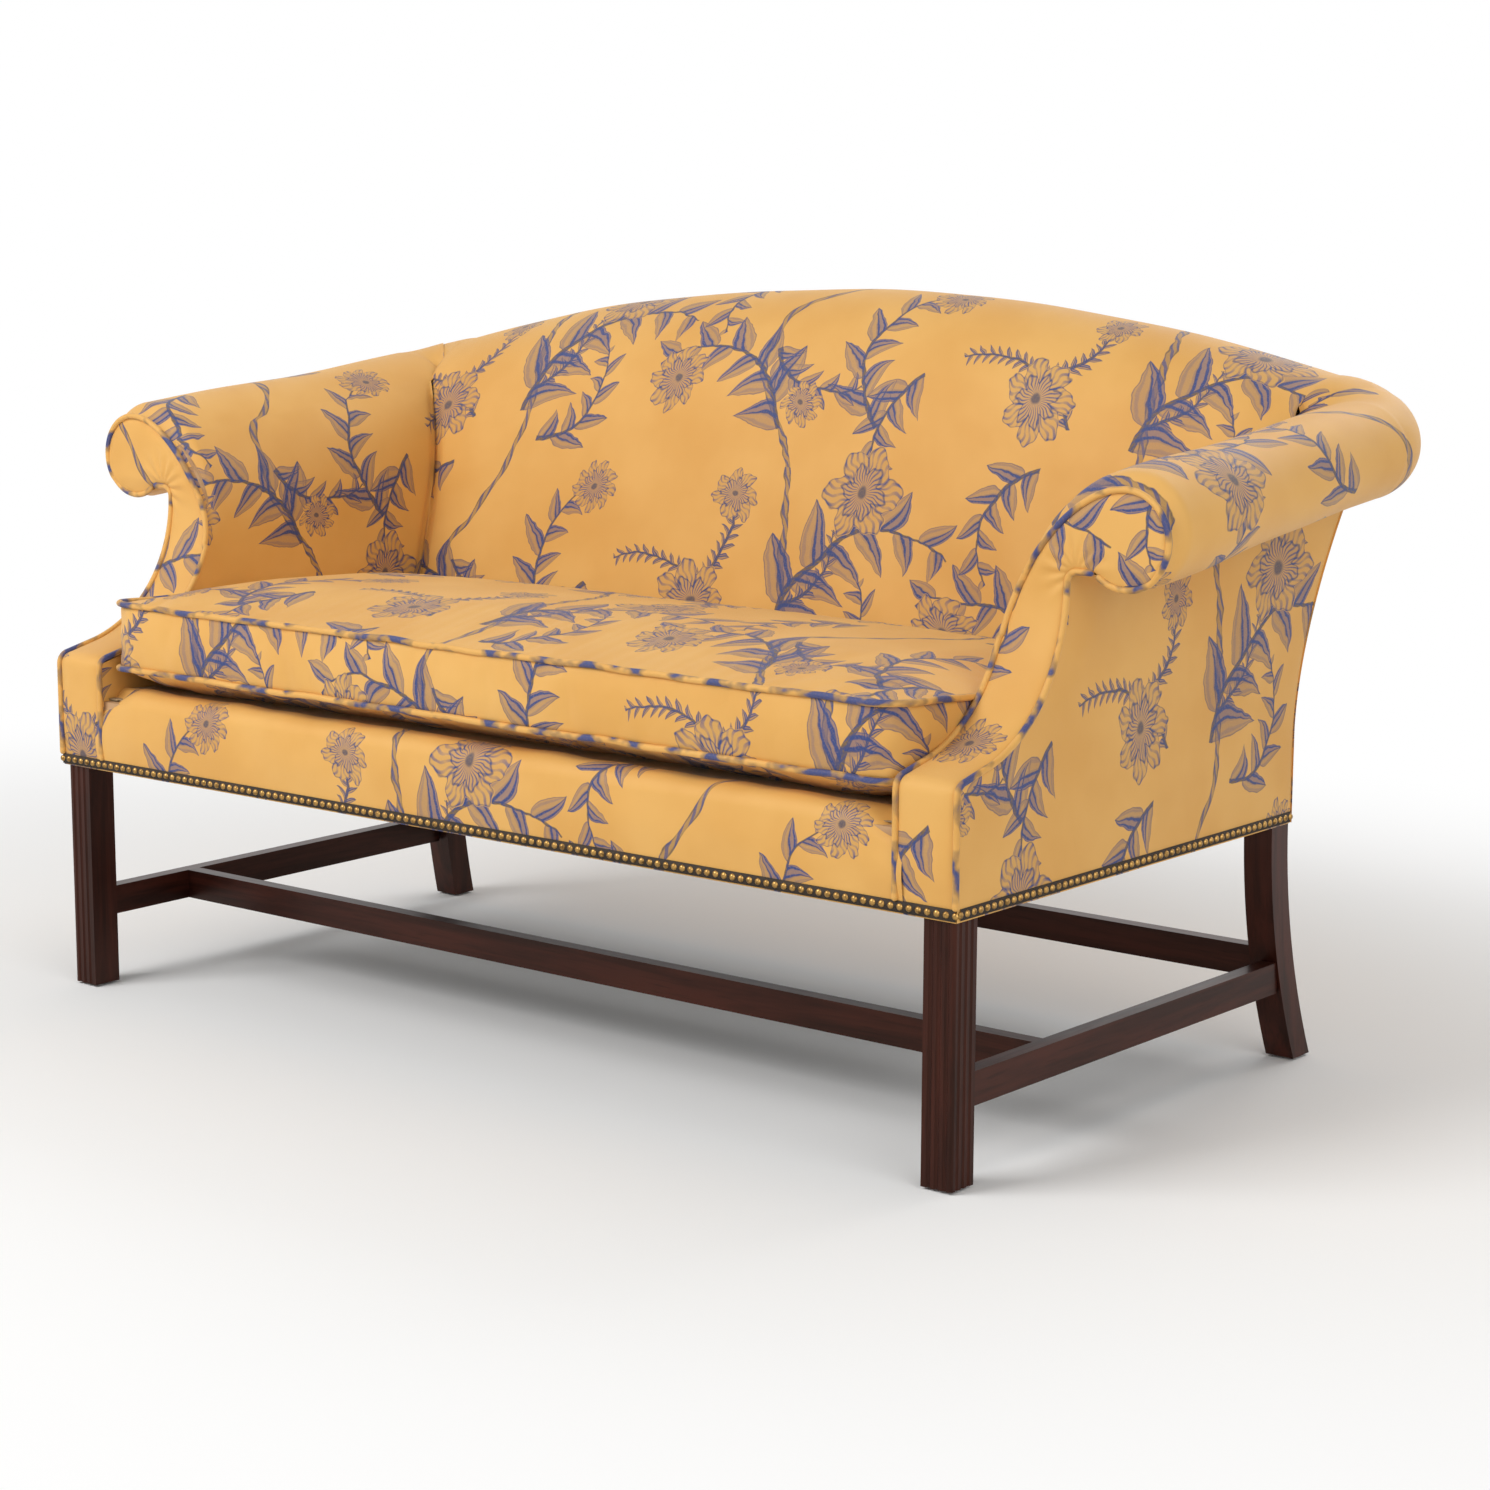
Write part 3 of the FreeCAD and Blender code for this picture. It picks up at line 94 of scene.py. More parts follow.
def close_up(thing, distance):
    """Merge points that lie together, so that seams and poles are closed, and drop faces with no area."""
    work = bmesh.new()
    work.from_mesh(thing.data)
    bmesh.ops.remove_doubles(work, verts=work.verts, dist=distance)
    bmesh.ops.dissolve_degenerate(work, edges=work.edges, dist=distance / 2)
    work.to_mesh(thing.data)
    work.free()


def merged(name, things):
    """Several meshes made one piece, each keeping its material and its place on the cloth."""
    bpy.ops.object.select_all(action="DESELECT")
    for thing in things:
        thing.select_set(True)
    bpy.context.view_layer.objects.active = things[0]
    bpy.ops.object.join()
    joined = bpy.context.view_layer.objects.active
    joined.select_set(False)
    joined.name = name
    joined.data.name = name
    return joined


# %% [markdown]
# ## Curves as arrays
# Upholstery is drawn with few kinds of line: arcs through three points, smooth bends between two
# directions, and straight runs. `even` spreads points along any of them at equal steps.

# %% Lines and arcs


def smooth(share):
    """0 below 0, 1 above 1, and an S curve between."""
    share = np.clip(share, 0.0, 1.0)
    return share * share * (3 - 2 * share)


def line(start, end, count):
    """Points on a straight run, ends included."""
    share = np.linspace(0.0, 1.0, count)[:, None]
    return np.array(start, float) * (1 - share) + np.array(end, float) * share


def arc(start, middle, end, count):
    """Points on the circle through three points of a plane, from the first to the last past the middle."""
    a, b, c = (complex(*point) for point in (start, middle, end))
    w = (c - a) / (b - a)
    centre = (b - a) * (w - abs(w) ** 2) / (2j * w.imag) + a
    angle0, angle1, angle2 = (np.angle(point - centre) for point in (a, b, c))
    turn = (angle2 - angle0) % (2 * np.pi)
    if (angle1 - angle0) % (2 * np.pi) > turn:
        turn -= 2 * np.pi
    angle = angle0 + turn * np.linspace(0.0, 1.0, count)
    radius = abs(a - centre)
    return np.stack([centre.real + radius * np.cos(angle), centre.imag + radius * np.sin(angle)], -1)


def bend(start, leave, end, arrive, count):
    """Cubic curve that leaves start along one direction and arrives at end along another."""
    t = np.linspace(0.0, 1.0, count)[:, None]
    start, leave, end, arrive = (np.array(item, float) for item in (start, leave, end, arrive))
    first, second = start + leave / 3, end - arrive / 3
    early, late = 3 * t * (1 - t) ** 2, 3 * t * t * (1 - t)
    return start * (1 - t) ** 3 + first * early + second * late + end * t ** 3


def chain(*runs):
    """Runs joined end to end, the shared points kept once."""
    return np.concatenate([runs[0]] + [run[1:] for run in runs[1:]])


def lengths(path):
    """Distance along a path at each of its points."""
    steps = np.linalg.norm(np.diff(path, axis=0), axis=1)
    return np.concatenate([[0.0], np.cumsum(steps)])


def even(path, count):
    """The same path at equal steps."""
    along = lengths(path)
    goal = np.linspace(0.0, along[-1], count)
    return np.stack([np.interp(goal, along, path[:, axis]) for axis in range(path.shape[1])], -1)


def ripple(points, size, height, seed):
    """Height of a soft uneven surface: a sum of waves in chance directions, about size long."""
    rng = np.random.default_rng(seed)
    total = np.zeros(points.shape[:-1])
    for _ in range(9):
        direction = rng.normal(size=3)
        direction *= 2 * np.pi / (np.linalg.norm(direction) * size * rng.uniform(0.6, 1.7))
        total += np.sin(points @ direction + rng.uniform(0, 2 * np.pi))
    return total * height / 3


def grid_normals(points):
    """Unit normal at each point of a grid, from the steps to its neighbours."""
    down = np.gradient(points, axis=0)
    across = np.gradient(points, axis=1)
    normal = np.cross(down, across)
    size = np.linalg.norm(normal, axis=-1, keepdims=True)
    return np.where(size > 1e-12, normal / np.maximum(size, 1e-12), 0.0)


# %% [markdown]
# ## The rolled section
# Arms and back share one section: a flat face rises from the deck, bends over outwards, goes round a
# stuffed roll and ends in the throat under it. It is measured from the middle of the roll: out, away from
# the sitter, and up. Written once, as a table, it can answer how far out the face lies at any height, and
# that is how the arm finds the seam where it meets the back.

# %% Section of arm and back
ROLL = 0.055
THROAT = (-0.062, -0.042)
TOP = (-0.008, 0.055)
SHOULDER = (-0.085, 0.028)
SHOULDER_SLOPE = math.radians(37)
NECK_DROP = 0.112
ARM_INSIDE = 0.150
ARM_LEAN = 0.003 / NECK_DROP
BACK_DEEP = 0.166
BACK_RAKE = 0.26
FLANK_POINTS = 26
CROWN_POINTS = 14
ROLL_POINTS = 46
UNDER_POINTS = 7


def section(depth, lean):
    """Points (out, up) from the neck over the roll to the throat, with the shoulder's place in the list."""
    neck = np.array([-depth, -NECK_DROP])
    rise = SHOULDER[1] - neck[1]
    reach = np.hypot(SHOULDER[0] - neck[0], rise)
    slope = np.array([math.cos(SHOULDER_SLOPE), math.sin(SHOULDER_SLOPE)])
    start = np.array([lean, 1.0]) / math.hypot(lean, 1.0)
    flank = bend(neck, start * reach * 1.05, SHOULDER, slope * reach * 0.95, FLANK_POINTS)
    upper = np.linalg.norm(np.subtract(TOP, SHOULDER))
    crown = bend(SHOULDER, slope * upper * 1.05, TOP, np.array([1.0, 0.0]) * upper * 1.05, CROWN_POINTS)
    turn = np.radians(np.linspace(90, -90, ROLL_POINTS))
    roll = np.stack([ROLL * np.cos(turn), ROLL * np.sin(turn)], -1)
    under = line(roll[-1], THROAT, UNDER_POINTS)
    return chain(flank, crown, roll, under), len(flank) - 1


arm_points, shoulder = section(ARM_INSIDE - ARM_LEAN * NECK_DROP, ARM_LEAN)
back_points, _ = section(BACK_DEEP, BACK_RAKE)
print("section", len(arm_points), "points, shoulder at", shoulder)


def face_out(up, points, lean):
    """How far out the face lies at a height: the table above the neck, the leaning flat face below it."""
    top = shoulder + CROWN_POINTS
    below = points[0, 0] + lean * (up - points[0, 1])
    return np.where(up < points[0, 1], below, np.interp(up, points[:top, 1], points[:top, 0]))


# %% [markdown]
# ## Where the roll runs
# The arm's roll climbs gently to the rear. The back's roll arches over the middle like a camel's hump and
# also sits further back there. At each rear corner the roll turns a quarter circle and climbs from the
# arm's height to the back's.

# %% Lines of the roll
ARM_X = HALF + 0.076
BEND = 0.085
AXIS_X = ARM_X - BEND
ARM_START = 0.200
ARM_RUN = 0.500
AXIS_Y = FRONT + 0.700
ARM_FRONT_HEIGHT = 0.687
ARM_REAR_HEIGHT = 0.743
CREST_END = 0.768
FOOT = 0.295
CREST_RISE = 0.084
CREST_SET = 0.785
CREST_BOW = 0.027
CORNER_RISE = CREST_END - ARM_REAR_HEIGHT
CORNER_HEIGHT = ARM_REAR_HEIGHT + CORNER_RISE / 2
DECK_FRONT = 0.403
SEAT_SLOPE = math.tan(math.radians(2.45))


def arm_height(y):
    """Middle of the arm roll: a straight climb to the rear."""
    return ARM_FRONT_HEIGHT + (y - FRONT - ARM_START) / ARM_RUN * (ARM_REAR_HEIGHT - ARM_FRONT_HEIGHT)


def crest(x):
    """Height and Y of the back roll's middle: a parabola across the sofa."""
    share = 1 - (x / AXIS_X) ** 2
    return CREST_END + CREST_RISE * share, FRONT + CREST_SET + CREST_BOW * share


def deck_top(y):
    """Top of the stuffed deck under the cushion."""
    return DECK_FRONT - SEAT_SLOPE * (y - FRONT)


print("roll at the corner", round(CORNER_HEIGHT, 4), "at the crest", round(float(crest(0.0)[0]), 4))

# %% [markdown]
# ## The arm's front
# Seen from the side, the front of an arm rises upright from the leg, steps back over a small knee and
# sweeps up to the scroll. The same line gives the cut edge of the inside and outside arm, and carries the
# facing.

# %% Side line of the arm's front
COVER_OUT = 0.004
side_line = chain(
    line((-COVER_OUT, FOOT), (-COVER_OUT, 0.428), 30),
    arc((-COVER_OUT, 0.428), (-0.001, 0.436), (0.007, 0.440), 8),
    line((0.007, 0.440), (0.054, 0.451), 14),
    arc((0.054, 0.451), (0.149, 0.512), (0.191, 0.652), 50),
    line((0.191, 0.652), (0.191, 0.760), 24),
)


def front_edge(z):
    """Y of the arm's front at a height."""
    return FRONT + np.interp(z, side_line[:, 1], side_line[:, 0])


# %% [markdown]
# ## Outline of the facing
# A ribbon of cloth runs up the front of the arm and widens into the scroll. Its two edges are drawn as
# curves on the front view. The cover of the arm starts from the same curves, so that no gap can open
# between the two.

# %% Edges of the facing
INNER_X = HALF - 0.074
COVER_X = HALF + COVER_OUT
SCROLL = 0.053
SCROLL_MIDDLE = (ARM_X, 0.682)
SCROLL_START = 97.0
SCROLL_TIP = -45.0
SCROLL_THROAT = -135.0
SCROLL_UNDER = -128.0
KNEE = 0.567
UPRIGHT = (INNER_X + 0.003, KNEE + 0.004)


def on_scroll(degrees):
    """Points (x, z) on the circle of the scroll at angles from the outer side, counted upwards."""
    angle = np.radians(degrees)
    middle_x, middle_z = SCROLL_MIDDLE
    return np.stack([middle_x + SCROLL * np.cos(angle), middle_z + SCROLL * np.sin(angle)], -1)


low_line = even(side_line[side_line[:, 1] <= KNEE], 90)
inner_top = chain(
    line((INNER_X, low_line[-1, 1]), UPRIGHT, 4),
    bend(UPRIGHT, (0.008, 0.19), on_scroll([SCROLL_START])[0], (0.19, 0.01), 40),
    on_scroll(np.linspace(SCROLL_START, SCROLL_TIP, 50)),
)
throat = on_scroll([SCROLL_THROAT])[0]
turn_low = (COVER_X, throat[1] - 0.014)
turn_high = (COVER_X + 0.013, throat[1])
outer_top = chain(
    line((COVER_X, low_line[-1, 1]), turn_low, 20),
    arc(turn_low, (COVER_X + 0.0035, throat[1] - 0.004), turn_high, 10),
    line(turn_high, throat, 10),
    on_scroll(np.linspace(SCROLL_THROAT, SCROLL_TIP, 30)),
)
print("edges of the facing", len(inner_top), "and", len(outer_top), "points above the knee")


# %% [markdown]
# ## Inside arms
# One grid covers an arm: its columns follow the section, its rows run from the facing to the back. Below
# the shoulder every row ends on the face of the back, found by repeating `y = back face at (x, z)` until
# it settles. Above it the rows go on round the corner to a mitre at 45 degrees, where the cover of the
# back takes over.

# %% Cover of an arm
WALL = 22
TUCK = 0.006
TUCK_COLUMNS = 9.0
TUCK_REACH = 0.008
SINK = 0.035
SWELL = 0.008
SETTLING = 30
GROOVE = 0.0022
GROOVE_WIDE = 0.0035
CORNER_ROWS = 26
CLOTH_BEND = BEND + 0.02


def arm_xz(y, up_wall, up_rest):
    """Place of the columns at given Y: the wall is shared out from deck to neck, the rest is the section."""
    height = arm_height(y)
    base = deck_top(y) - SINK
    wall_z = base[..., :WALL] + up_wall * (height[..., :WALL] - NECK_DROP - base[..., :WALL])
    rest_z = height[..., WALL:] + up_rest
    z = np.concatenate([wall_z, rest_z], -1)
    out = np.concatenate([face_out(wall_z - height[..., :WALL], arm_points, ARM_LEAN),
                          np.broadcast_to(arm_points[:, 0], rest_z.shape)], -1)
    return ARM_X + out, z


def solve_arm_end(up_wall, up_rest):
    """Y where each column of the arm's grid meets the face of the back."""
    end = np.full(len(up_wall) + len(up_rest), AXIS_Y)
    for _ in range(SETTLING):
        x, z = arm_xz(end, up_wall, up_rest)
        height, middle = crest(x)
        end = np.minimum(middle + face_out(z - height, back_points, BACK_RAKE), AXIS_Y)
    end[WALL + shoulder:] = AXIS_Y
    return end


def seam_tuck(count):
    """How far each column is pushed into the seam between arm and back: fully below, not at the shoulder."""
    return TUCK * smooth((WALL + shoulder - np.arange(count)) / TUCK_COLUMNS)


def corner_reach(points, turn):
    """Distance of the columns from the upright axis of the corner, less a groove at the mitre, at 45
    degrees."""
    reach = np.concatenate([np.zeros(WALL), np.maximum(BEND + points[:, 0], 0.0)])
    reach[:WALL + shoulder + 1] = 0.0
    groove = GROOVE * np.exp(-((turn - math.radians(45)) * 0.09 / GROOVE_WIDE) ** 2)
    return np.maximum(reach - groove * (reach > 0), 0.0)


def front_outline():
    """Where each column of the arm starts: (x, z) on the facing's edge, matched by share of the length."""
    crown = shoulder + CROWN_POINTS
    upright = chain(inner_top[:44], on_scroll(np.linspace(SCROLL_START, 90.0, 6)))
    upright = upright[upright[:, 1] > UPRIGHT[1]]
    share = lengths(arm_points[:crown])
    along = lengths(upright)
    goal = share / share[-1] * along[-1]
    rising = np.stack([np.interp(goal, along, upright[:, axis]) for axis in (0, 1)], -1)
    round_end = on_scroll(np.linspace(90.0, -90.0, ROLL_POINTS))[1:]
    under = on_scroll(np.linspace(-90.0, SCROLL_UNDER, UNDER_POINTS))[1:]
    return np.concatenate([rising, round_end, under])


def arm_grid():
    """Points and cloth places of the right arm."""
    up_wall = np.linspace(0.0, 1.0, WALL, endpoint=False)
    up_rest = arm_points[:, 1]
    end = solve_arm_end(up_wall, up_rest)
    count = len(end)
    below = np.arange(count) < WALL + shoulder
    tuck = seam_tuck(count)
    rows = np.concatenate([np.linspace(0.0, 0.10, 26)[:-1], np.linspace(0.10, 1.0, 90)])[:, None]
    _, z = arm_xz(np.full(count, FRONT + 0.17), up_wall, up_rest)
    outline = front_outline()
    z[WALL:] = outline[:, 1]
    start = front_edge(z) + 0.001
    y = start + (end + tuck - start) * rows
    x, z = arm_xz(y, up_wall, up_rest)
    behind = y - start
    ring = np.clip(np.arange(count) - WALL - shoulder, 0, 12) / 12.0
    swell = SWELL * smooth(behind / 0.030) * (1 - 0.75 * smooth((behind - 0.06) / 0.25)) * ring
    x = x + swell * (x - ARM_X) / ROLL
    z = z + swell * (z - arm_height(y)) / ROLL
    fresh = (1 - smooth(behind[:, WALL:] / 0.024)) ** 1.5
    x[:, WALL:] += (outline[:, 0] - x[:, WALL:]) * fresh
    z[:, WALL:] += (outline[:, 1] - z[:, WALL:]) * fresh
    x = x + tuck * np.exp(-((end - y).clip(0) / TUCK_REACH) ** 2)
    straight = np.stack([x, y, z], -1)
    turn = np.radians(np.linspace(0.0, 45.0, CORNER_ROWS))[1:, None]
    run = corner_reach(arm_points, turn)
    last = straight[-1]
    corner_x = np.where(below, last[:, 0], AXIS_X + run * np.cos(turn))
    corner_y = np.where(below, last[:, 1], AXIS_Y + run * np.sin(turn))
    corner_z = last[:, 2] + np.where(below, 0.0, CORNER_RISE * smooth(turn / np.radians(90.0)))
    points = np.concatenate([straight, np.stack([corner_x, corner_y, corner_z], -1)])
    up_cloth = lengths(straight[60])
    along = np.concatenate([y - AXIS_Y, turn * CLOTH_BEND + np.zeros(count)])
    cloth = np.stack([along, np.broadcast_to(up_cloth, along.shape)], -1)
    return points, cloth


def above_foot(points):
    """0 at the nailed lower edge and 1 from 62 mm above it."""
    return smooth((points[..., 2] - FOOT - 0.012) / 0.05)


def relaxed(points, size=0.16, height=0.0011, seed=1):
    """The grid moved along its normals by a soft unevenness, which hand-stuffed work always has. The cloth is
    held at the nailed lower edge and at the seam of the rear corner, where |x| - AXIS_X equals y - AXIS_Y."""
    seam = np.abs(np.abs(points[..., 0]) - AXIS_X - points[..., 1] + AXIS_Y) / math.sqrt(2)
    free = above_foot(points) * smooth(seam / 0.05)
    return points + grid_normals(points) * (ripple(points, size, height, seed) * free)[..., None]


def mirrored(points):
    """The same grid on the left side."""
    return points * np.array([-1.0, 1.0, 1.0])


arm_sheet, arm_cloth = arm_grid()
arm_right = surface("inside_arm_right", relaxed(arm_sheet, seed=4), arm_cloth)
arm_left = surface("inside_arm_left", mirrored(relaxed(arm_sheet, seed=7)), arm_cloth + [0.31, 0.12],
                   flip=True)
print("arm grid", arm_sheet.shape)

# %% [markdown]
# ## Inside back
# The back is one wide sheet with no seam. Its columns are the same section with more depth and a lean.
# Its rows run from one mitre to the other: round the right corner, across the sofa and round the left
# corner.

# %% Cover of the back
BACK_BASE = deck_top(FRONT + 0.55) - 0.010
BACK_ROWS = 260
BACK_SWELL = 0.008


def back_yz(x, up_wall):
    """Place of the columns at given X, like the arm's."""
    height, middle = crest(x)
    wall_z = BACK_BASE + up_wall * (height[..., :WALL] - NECK_DROP - BACK_BASE)
    rest_z = height[..., WALL:] + back_points[:, 1]
    out = np.concatenate([face_out(wall_z - height[..., :WALL], back_points, BACK_RAKE),
                          np.broadcast_to(back_points[:, 0], rest_z.shape)], -1)
    z = np.concatenate([wall_z, rest_z], -1)
    return middle + out, z


def back_grid():
    """Points and cloth places of the back, with a slight swell where a sitter's back rests."""
    up_wall = np.linspace(0.0, 1.0, WALL, endpoint=False)
    count = WALL + len(back_points)
    end = np.full(count, AXIS_X)
    for _ in range(SETTLING):
        y, z = back_yz(end, up_wall)
        end = np.minimum(ARM_X + face_out(z - arm_height(y), arm_points, ARM_LEAN), AXIS_X)
    end[WALL + shoulder:] = AXIS_X
    rows = np.linspace(1.0, -1.0, BACK_ROWS)[:, None]
    inside = np.arange(count) < WALL + shoulder
    tuck = seam_tuck(count)
    x = (end + tuck) * rows
    y, z = back_yz(x, up_wall)
    gap = (end - np.abs(x)).clip(0)
    y = y + tuck * np.exp(-(gap / TUCK_REACH) ** 2)
    belly = np.sin(np.pi * np.clip((z - 0.42) / 0.42, 0, 1)) * (1 - (x / 0.66) ** 2).clip(0)
    y = y - BACK_SWELL * belly * inside
    across = np.stack([x, y, z], -1)
    turn = np.radians(np.linspace(45.0, 90.0, CORNER_ROWS))[:-1, None]
    run = corner_reach(back_points, turn)
    sides = []
    for side, last in ((1, across[0]), (-1, across[-1])):
        corner_x = np.where(inside, last[:, 0], side * (AXIS_X + run * np.cos(turn)))
        corner_y = np.where(inside, last[:, 1], AXIS_Y + run * np.sin(turn))
        fall = CORNER_RISE * (1 - smooth(turn / np.radians(90.0)))
        corner_z = last[:, 2] - np.where(inside, 0.0, fall)
        sides.append(np.stack([corner_x, corner_y, corner_z], -1))
    points = np.concatenate([sides[0], across, sides[1][::-1]])
    beyond = (math.radians(90) - turn) * CLOTH_BEND + np.zeros(count)
    along = np.concatenate([AXIS_X + beyond, x, -AXIS_X - beyond[::-1]])
    cloth = np.stack([along, np.broadcast_to(lengths(across[BACK_ROWS // 2]), along.shape)], -1)
    return points, cloth


back_sheet, back_cloth = back_grid()
inside_back = surface("inside_back", relaxed(back_sheet, 0.24, 0.0013, 11), back_cloth, flip=True)
print("back grid", back_sheet.shape)

# %% [markdown]
# ## Outside covers
# The outside arms and back are plain cloth over board. They stand upright at the bottom and flare out
# towards the roll, most of all at the rear corners, where the roll leans out over them. Each column is a
# weighted step from the straight foot line to the wider top line.

# %% Covers of the outside
COVER_Y = FRONT + 0.692
FLARE = 0.044
FLARE_START = FRONT + 0.42
KINK = 0.405
UNDER_ROLL = 0.036


def flare_shape(z, top, middle_share):
    """0 up to the kink and 1 at the top, passing middle_share half way, as an arc does."""
    t = np.clip((z - KINK) / (top - KINK), 0.0, 1.0)
    power = math.log(middle_share) / math.log(0.5)
    return t ** power


def outside_grid():
    """Points and cloth places from the arm's front round the right corner to the middle of the back."""
    arm_run = np.linspace(0.0, 1.0, 90)
    back_run = np.linspace(0.0, 1.0, 150)
    up = np.linspace(0.0, 1.0, 48)
    corner_top = CORNER_HEIGHT - ROLL + 0.006

    arm_start = front_edge(0.5) - 0.16
    arm_y = arm_start + (COVER_Y - arm_start) * arm_run
    blend = np.clip((arm_y - FLARE_START) / (COVER_Y - FLARE_START), 0.0, 1.0)
    arm_top = (arm_height(arm_y) - UNDER_ROLL) * (1 - blend) + corner_top * blend
    z = FOOT + (arm_top[:, None] - FOOT) * up
    soft_corner = 0.006 * smooth((arm_y - COVER_Y + 0.012) / 0.012)
    from_front = smooth((arm_y[:, None] - front_edge(z)) / 0.06)
    near = 0.010 * flare_shape(z, arm_top[:, None], 0.25) * from_front
    far = FLARE * flare_shape(z, corner_top, 0.31)
    x = COVER_X + near * (1 - blend[:, None]) + far * blend[:, None] - 0.5 * soft_corner[:, None]
    y = arm_y[:, None] + far * blend[:, None]
    arm_part = np.stack([x, y, z], -1)
    arm_part[..., 1] = np.maximum(arm_part[..., 1], front_edge(z) + 0.001)

    back_x = COVER_X * (1 - back_run)
    edge = np.clip((back_x - AXIS_X) / (COVER_X - AXIS_X), 0.0, 1.0)
    height, middle = crest(np.minimum(back_x, AXIS_X))
    back_top = (height - UNDER_ROLL) * (1 - edge) + corner_top * edge
    z = FOOT + (back_top[:, None] - FOOT) * up
    depth = (middle - 0.062 - COVER_Y)[:, None] * flare_shape(z, back_top[:, None], 0.40)
    far = FLARE * flare_shape(z, corner_top, 0.31)
    x = back_x[:, None] + far * edge[:, None]
    y = COVER_Y + depth * (1 - edge[:, None]) + far * edge[:, None]
    y = y - 0.003 * np.exp(-((COVER_X - back_x[:, None]) / 0.006) ** 2)
    back_part = np.stack([x, y, z], -1)

    arm_flat = arm_part[..., 1:] + [0.44, 0.0]
    back_flat = back_part[..., [0, 2]] + [0.27, 0.0]
    return arm_part, arm_flat, back_part, back_flat


outer_arm, outer_arm_cloth, outer_back, outer_back_cloth = outside_grid()
whole_back = np.concatenate([outer_back, mirrored(outer_back[::-1])[1:]])
other_cloth = outer_back_cloth[::-1] * [-1, 1] + [0.54, 0]
whole_back_cloth = np.concatenate([outer_back_cloth, other_cloth[1:]])
outside_right = surface("outside_arm_cover_right", relaxed(outer_arm, 0.2, 0.0008, 21), outer_arm_cloth)
outside_left = surface("outside_arm_cover_left", mirrored(relaxed(outer_arm, 0.2, 0.0008, 22)),
                       outer_arm_cloth + [0.2, 0.0], flip=True)
outside_back = surface("outside_back_cover", relaxed(whole_back, 0.2, 0.0008, 23), whole_back_cloth)
print("outside covers", outer_arm.shape, whole_back.shape)

# %% [markdown]
# ## Facings
# Rows of the facing join matching points of its two edges, and each point then moves back onto the side
# line. Both edges end at one point on the scroll, so that the ribbon closes by itself.

# %% Facing of each arm
FACING_PAD = 0.0055
GATHERS = 13
GATHER_DEEP = 0.0012


def facing_grid():
    """Points of the right facing, with a padded middle and small gathers round the throat."""
    rows, columns = 130, 36
    inner = even(inner_top, rows)
    outer = even(outer_top, rows)
    share = np.linspace(0.0, 1.0, columns)
    across = INNER_X + (COVER_X - INNER_X) * share
    low = np.stack(np.broadcast_arrays(across, FRONT + low_line[:, :1], low_line[:, 1:]), -1)
    top_xz = inner[:, None] * (1 - share[:, None]) + outer[:, None] * share[:, None]
    top = np.stack([top_xz[..., 0], front_edge(top_xz[..., 1]), top_xz[..., 1]], -1)
    points = np.concatenate([low, top[1:]])
    dome = 1 - (2 * share - 1) ** 4
    wide = np.linalg.norm(points[:, -1] - points[:, 0], axis=-1)[:, None]
    lift = FACING_PAD * dome * np.clip(wide / 0.05, 0.0, 1.0) * above_foot(points)
    from_throat = points[..., [0, 2]] - np.array([COVER_X + 0.012, throat[1]])
    far = np.linalg.norm(from_throat, axis=-1)
    angle = np.arctan2(from_throat[..., 1], from_throat[..., 0])
    folds = np.sin(angle * GATHERS) * np.exp(-((far - 0.022) / 0.020) ** 2) * GATHER_DEEP
    return points - grid_normals(points) * (lift + folds * dome)[..., None]


def facing_cloth(points):
    """Place on the cloth: across is X, and along follows the side line by way of the height."""
    along = np.interp(points[..., 2], side_line[:, 1], lengths(side_line))
    return np.stack([points[..., 0], along + 0.05], -1)


facing_sheet = facing_grid()
facing_flat = facing_cloth(facing_sheet)
facing_right = surface("facing_right", facing_sheet, facing_flat, flip=True)
facing_left = surface("facing_left", mirrored(facing_sheet), facing_flat + [0.19, 0.07])
print("facing", facing_sheet.shape)

# %% [markdown]
# ## Front border
# Below the cushion a stuffed border covers the front rail and turns over it as a soft lip. At the facings
# the lip dips a little. The section is carried along X.

# %% Border
LIP = 0.402
LIP_DIP = 0.020
BORDER_BELLY = 0.004


def border_grid():
    """The section of the border at each X, with the lip lower near its two ends."""
    section_line = chain(
        line((0.003, FOOT + 0.001), (-COVER_OUT, FOOT), 4),
        line((-COVER_OUT, FOOT), (-COVER_OUT, LIP - 0.022), 26),
        arc((-COVER_OUT, LIP - 0.022), (0.002, LIP - 0.006), (0.016, LIP), 14),
        line((0.016, LIP), (0.030, LIP), 6),
        line((0.030, LIP), (0.080, LIP - 0.014), 8),
    )
    x = np.linspace(-INNER_X - 0.010, INNER_X + 0.010, 240)[:, None]
    depth, height = section_line.T
    share = np.clip((height - FOOT) / (LIP - FOOT), 0, 1)
    dip = LIP_DIP * smooth((np.abs(x) - INNER_X + 0.075) / 0.075) ** 1.6
    z = height - dip * smooth(share) * (1 - smooth((depth - 0.010) / 0.03))
    belly = BORDER_BELLY * np.sin(np.pi * share) ** 1.6 * (depth < 0.005)
    points = np.stack(np.broadcast_arrays(x, FRONT + depth - belly, z), -1)
    cloth = np.stack([points[..., 0] + 0.1, np.broadcast_to(lengths(section_line) + 0.2, z.shape)], -1)
    return points, cloth


border_sheet, border_cloth = border_grid()
border = surface("front_border_cover", relaxed(border_sheet, 0.13, 0.0009, 31), border_cloth, flip=True)
print("border", border_sheet.shape)

# %% [markdown]
# ## Cushion
# The bench cushion has a top and a bottom panel and a boxing strip between, with piping in both seams.
# Its mesh is a grid wrapped like a box with rounded corners. Cloth simulation with a little air pressure
# then fills the panels, while the seams are pinned, as the piping and the strip hold them on the real
# one.

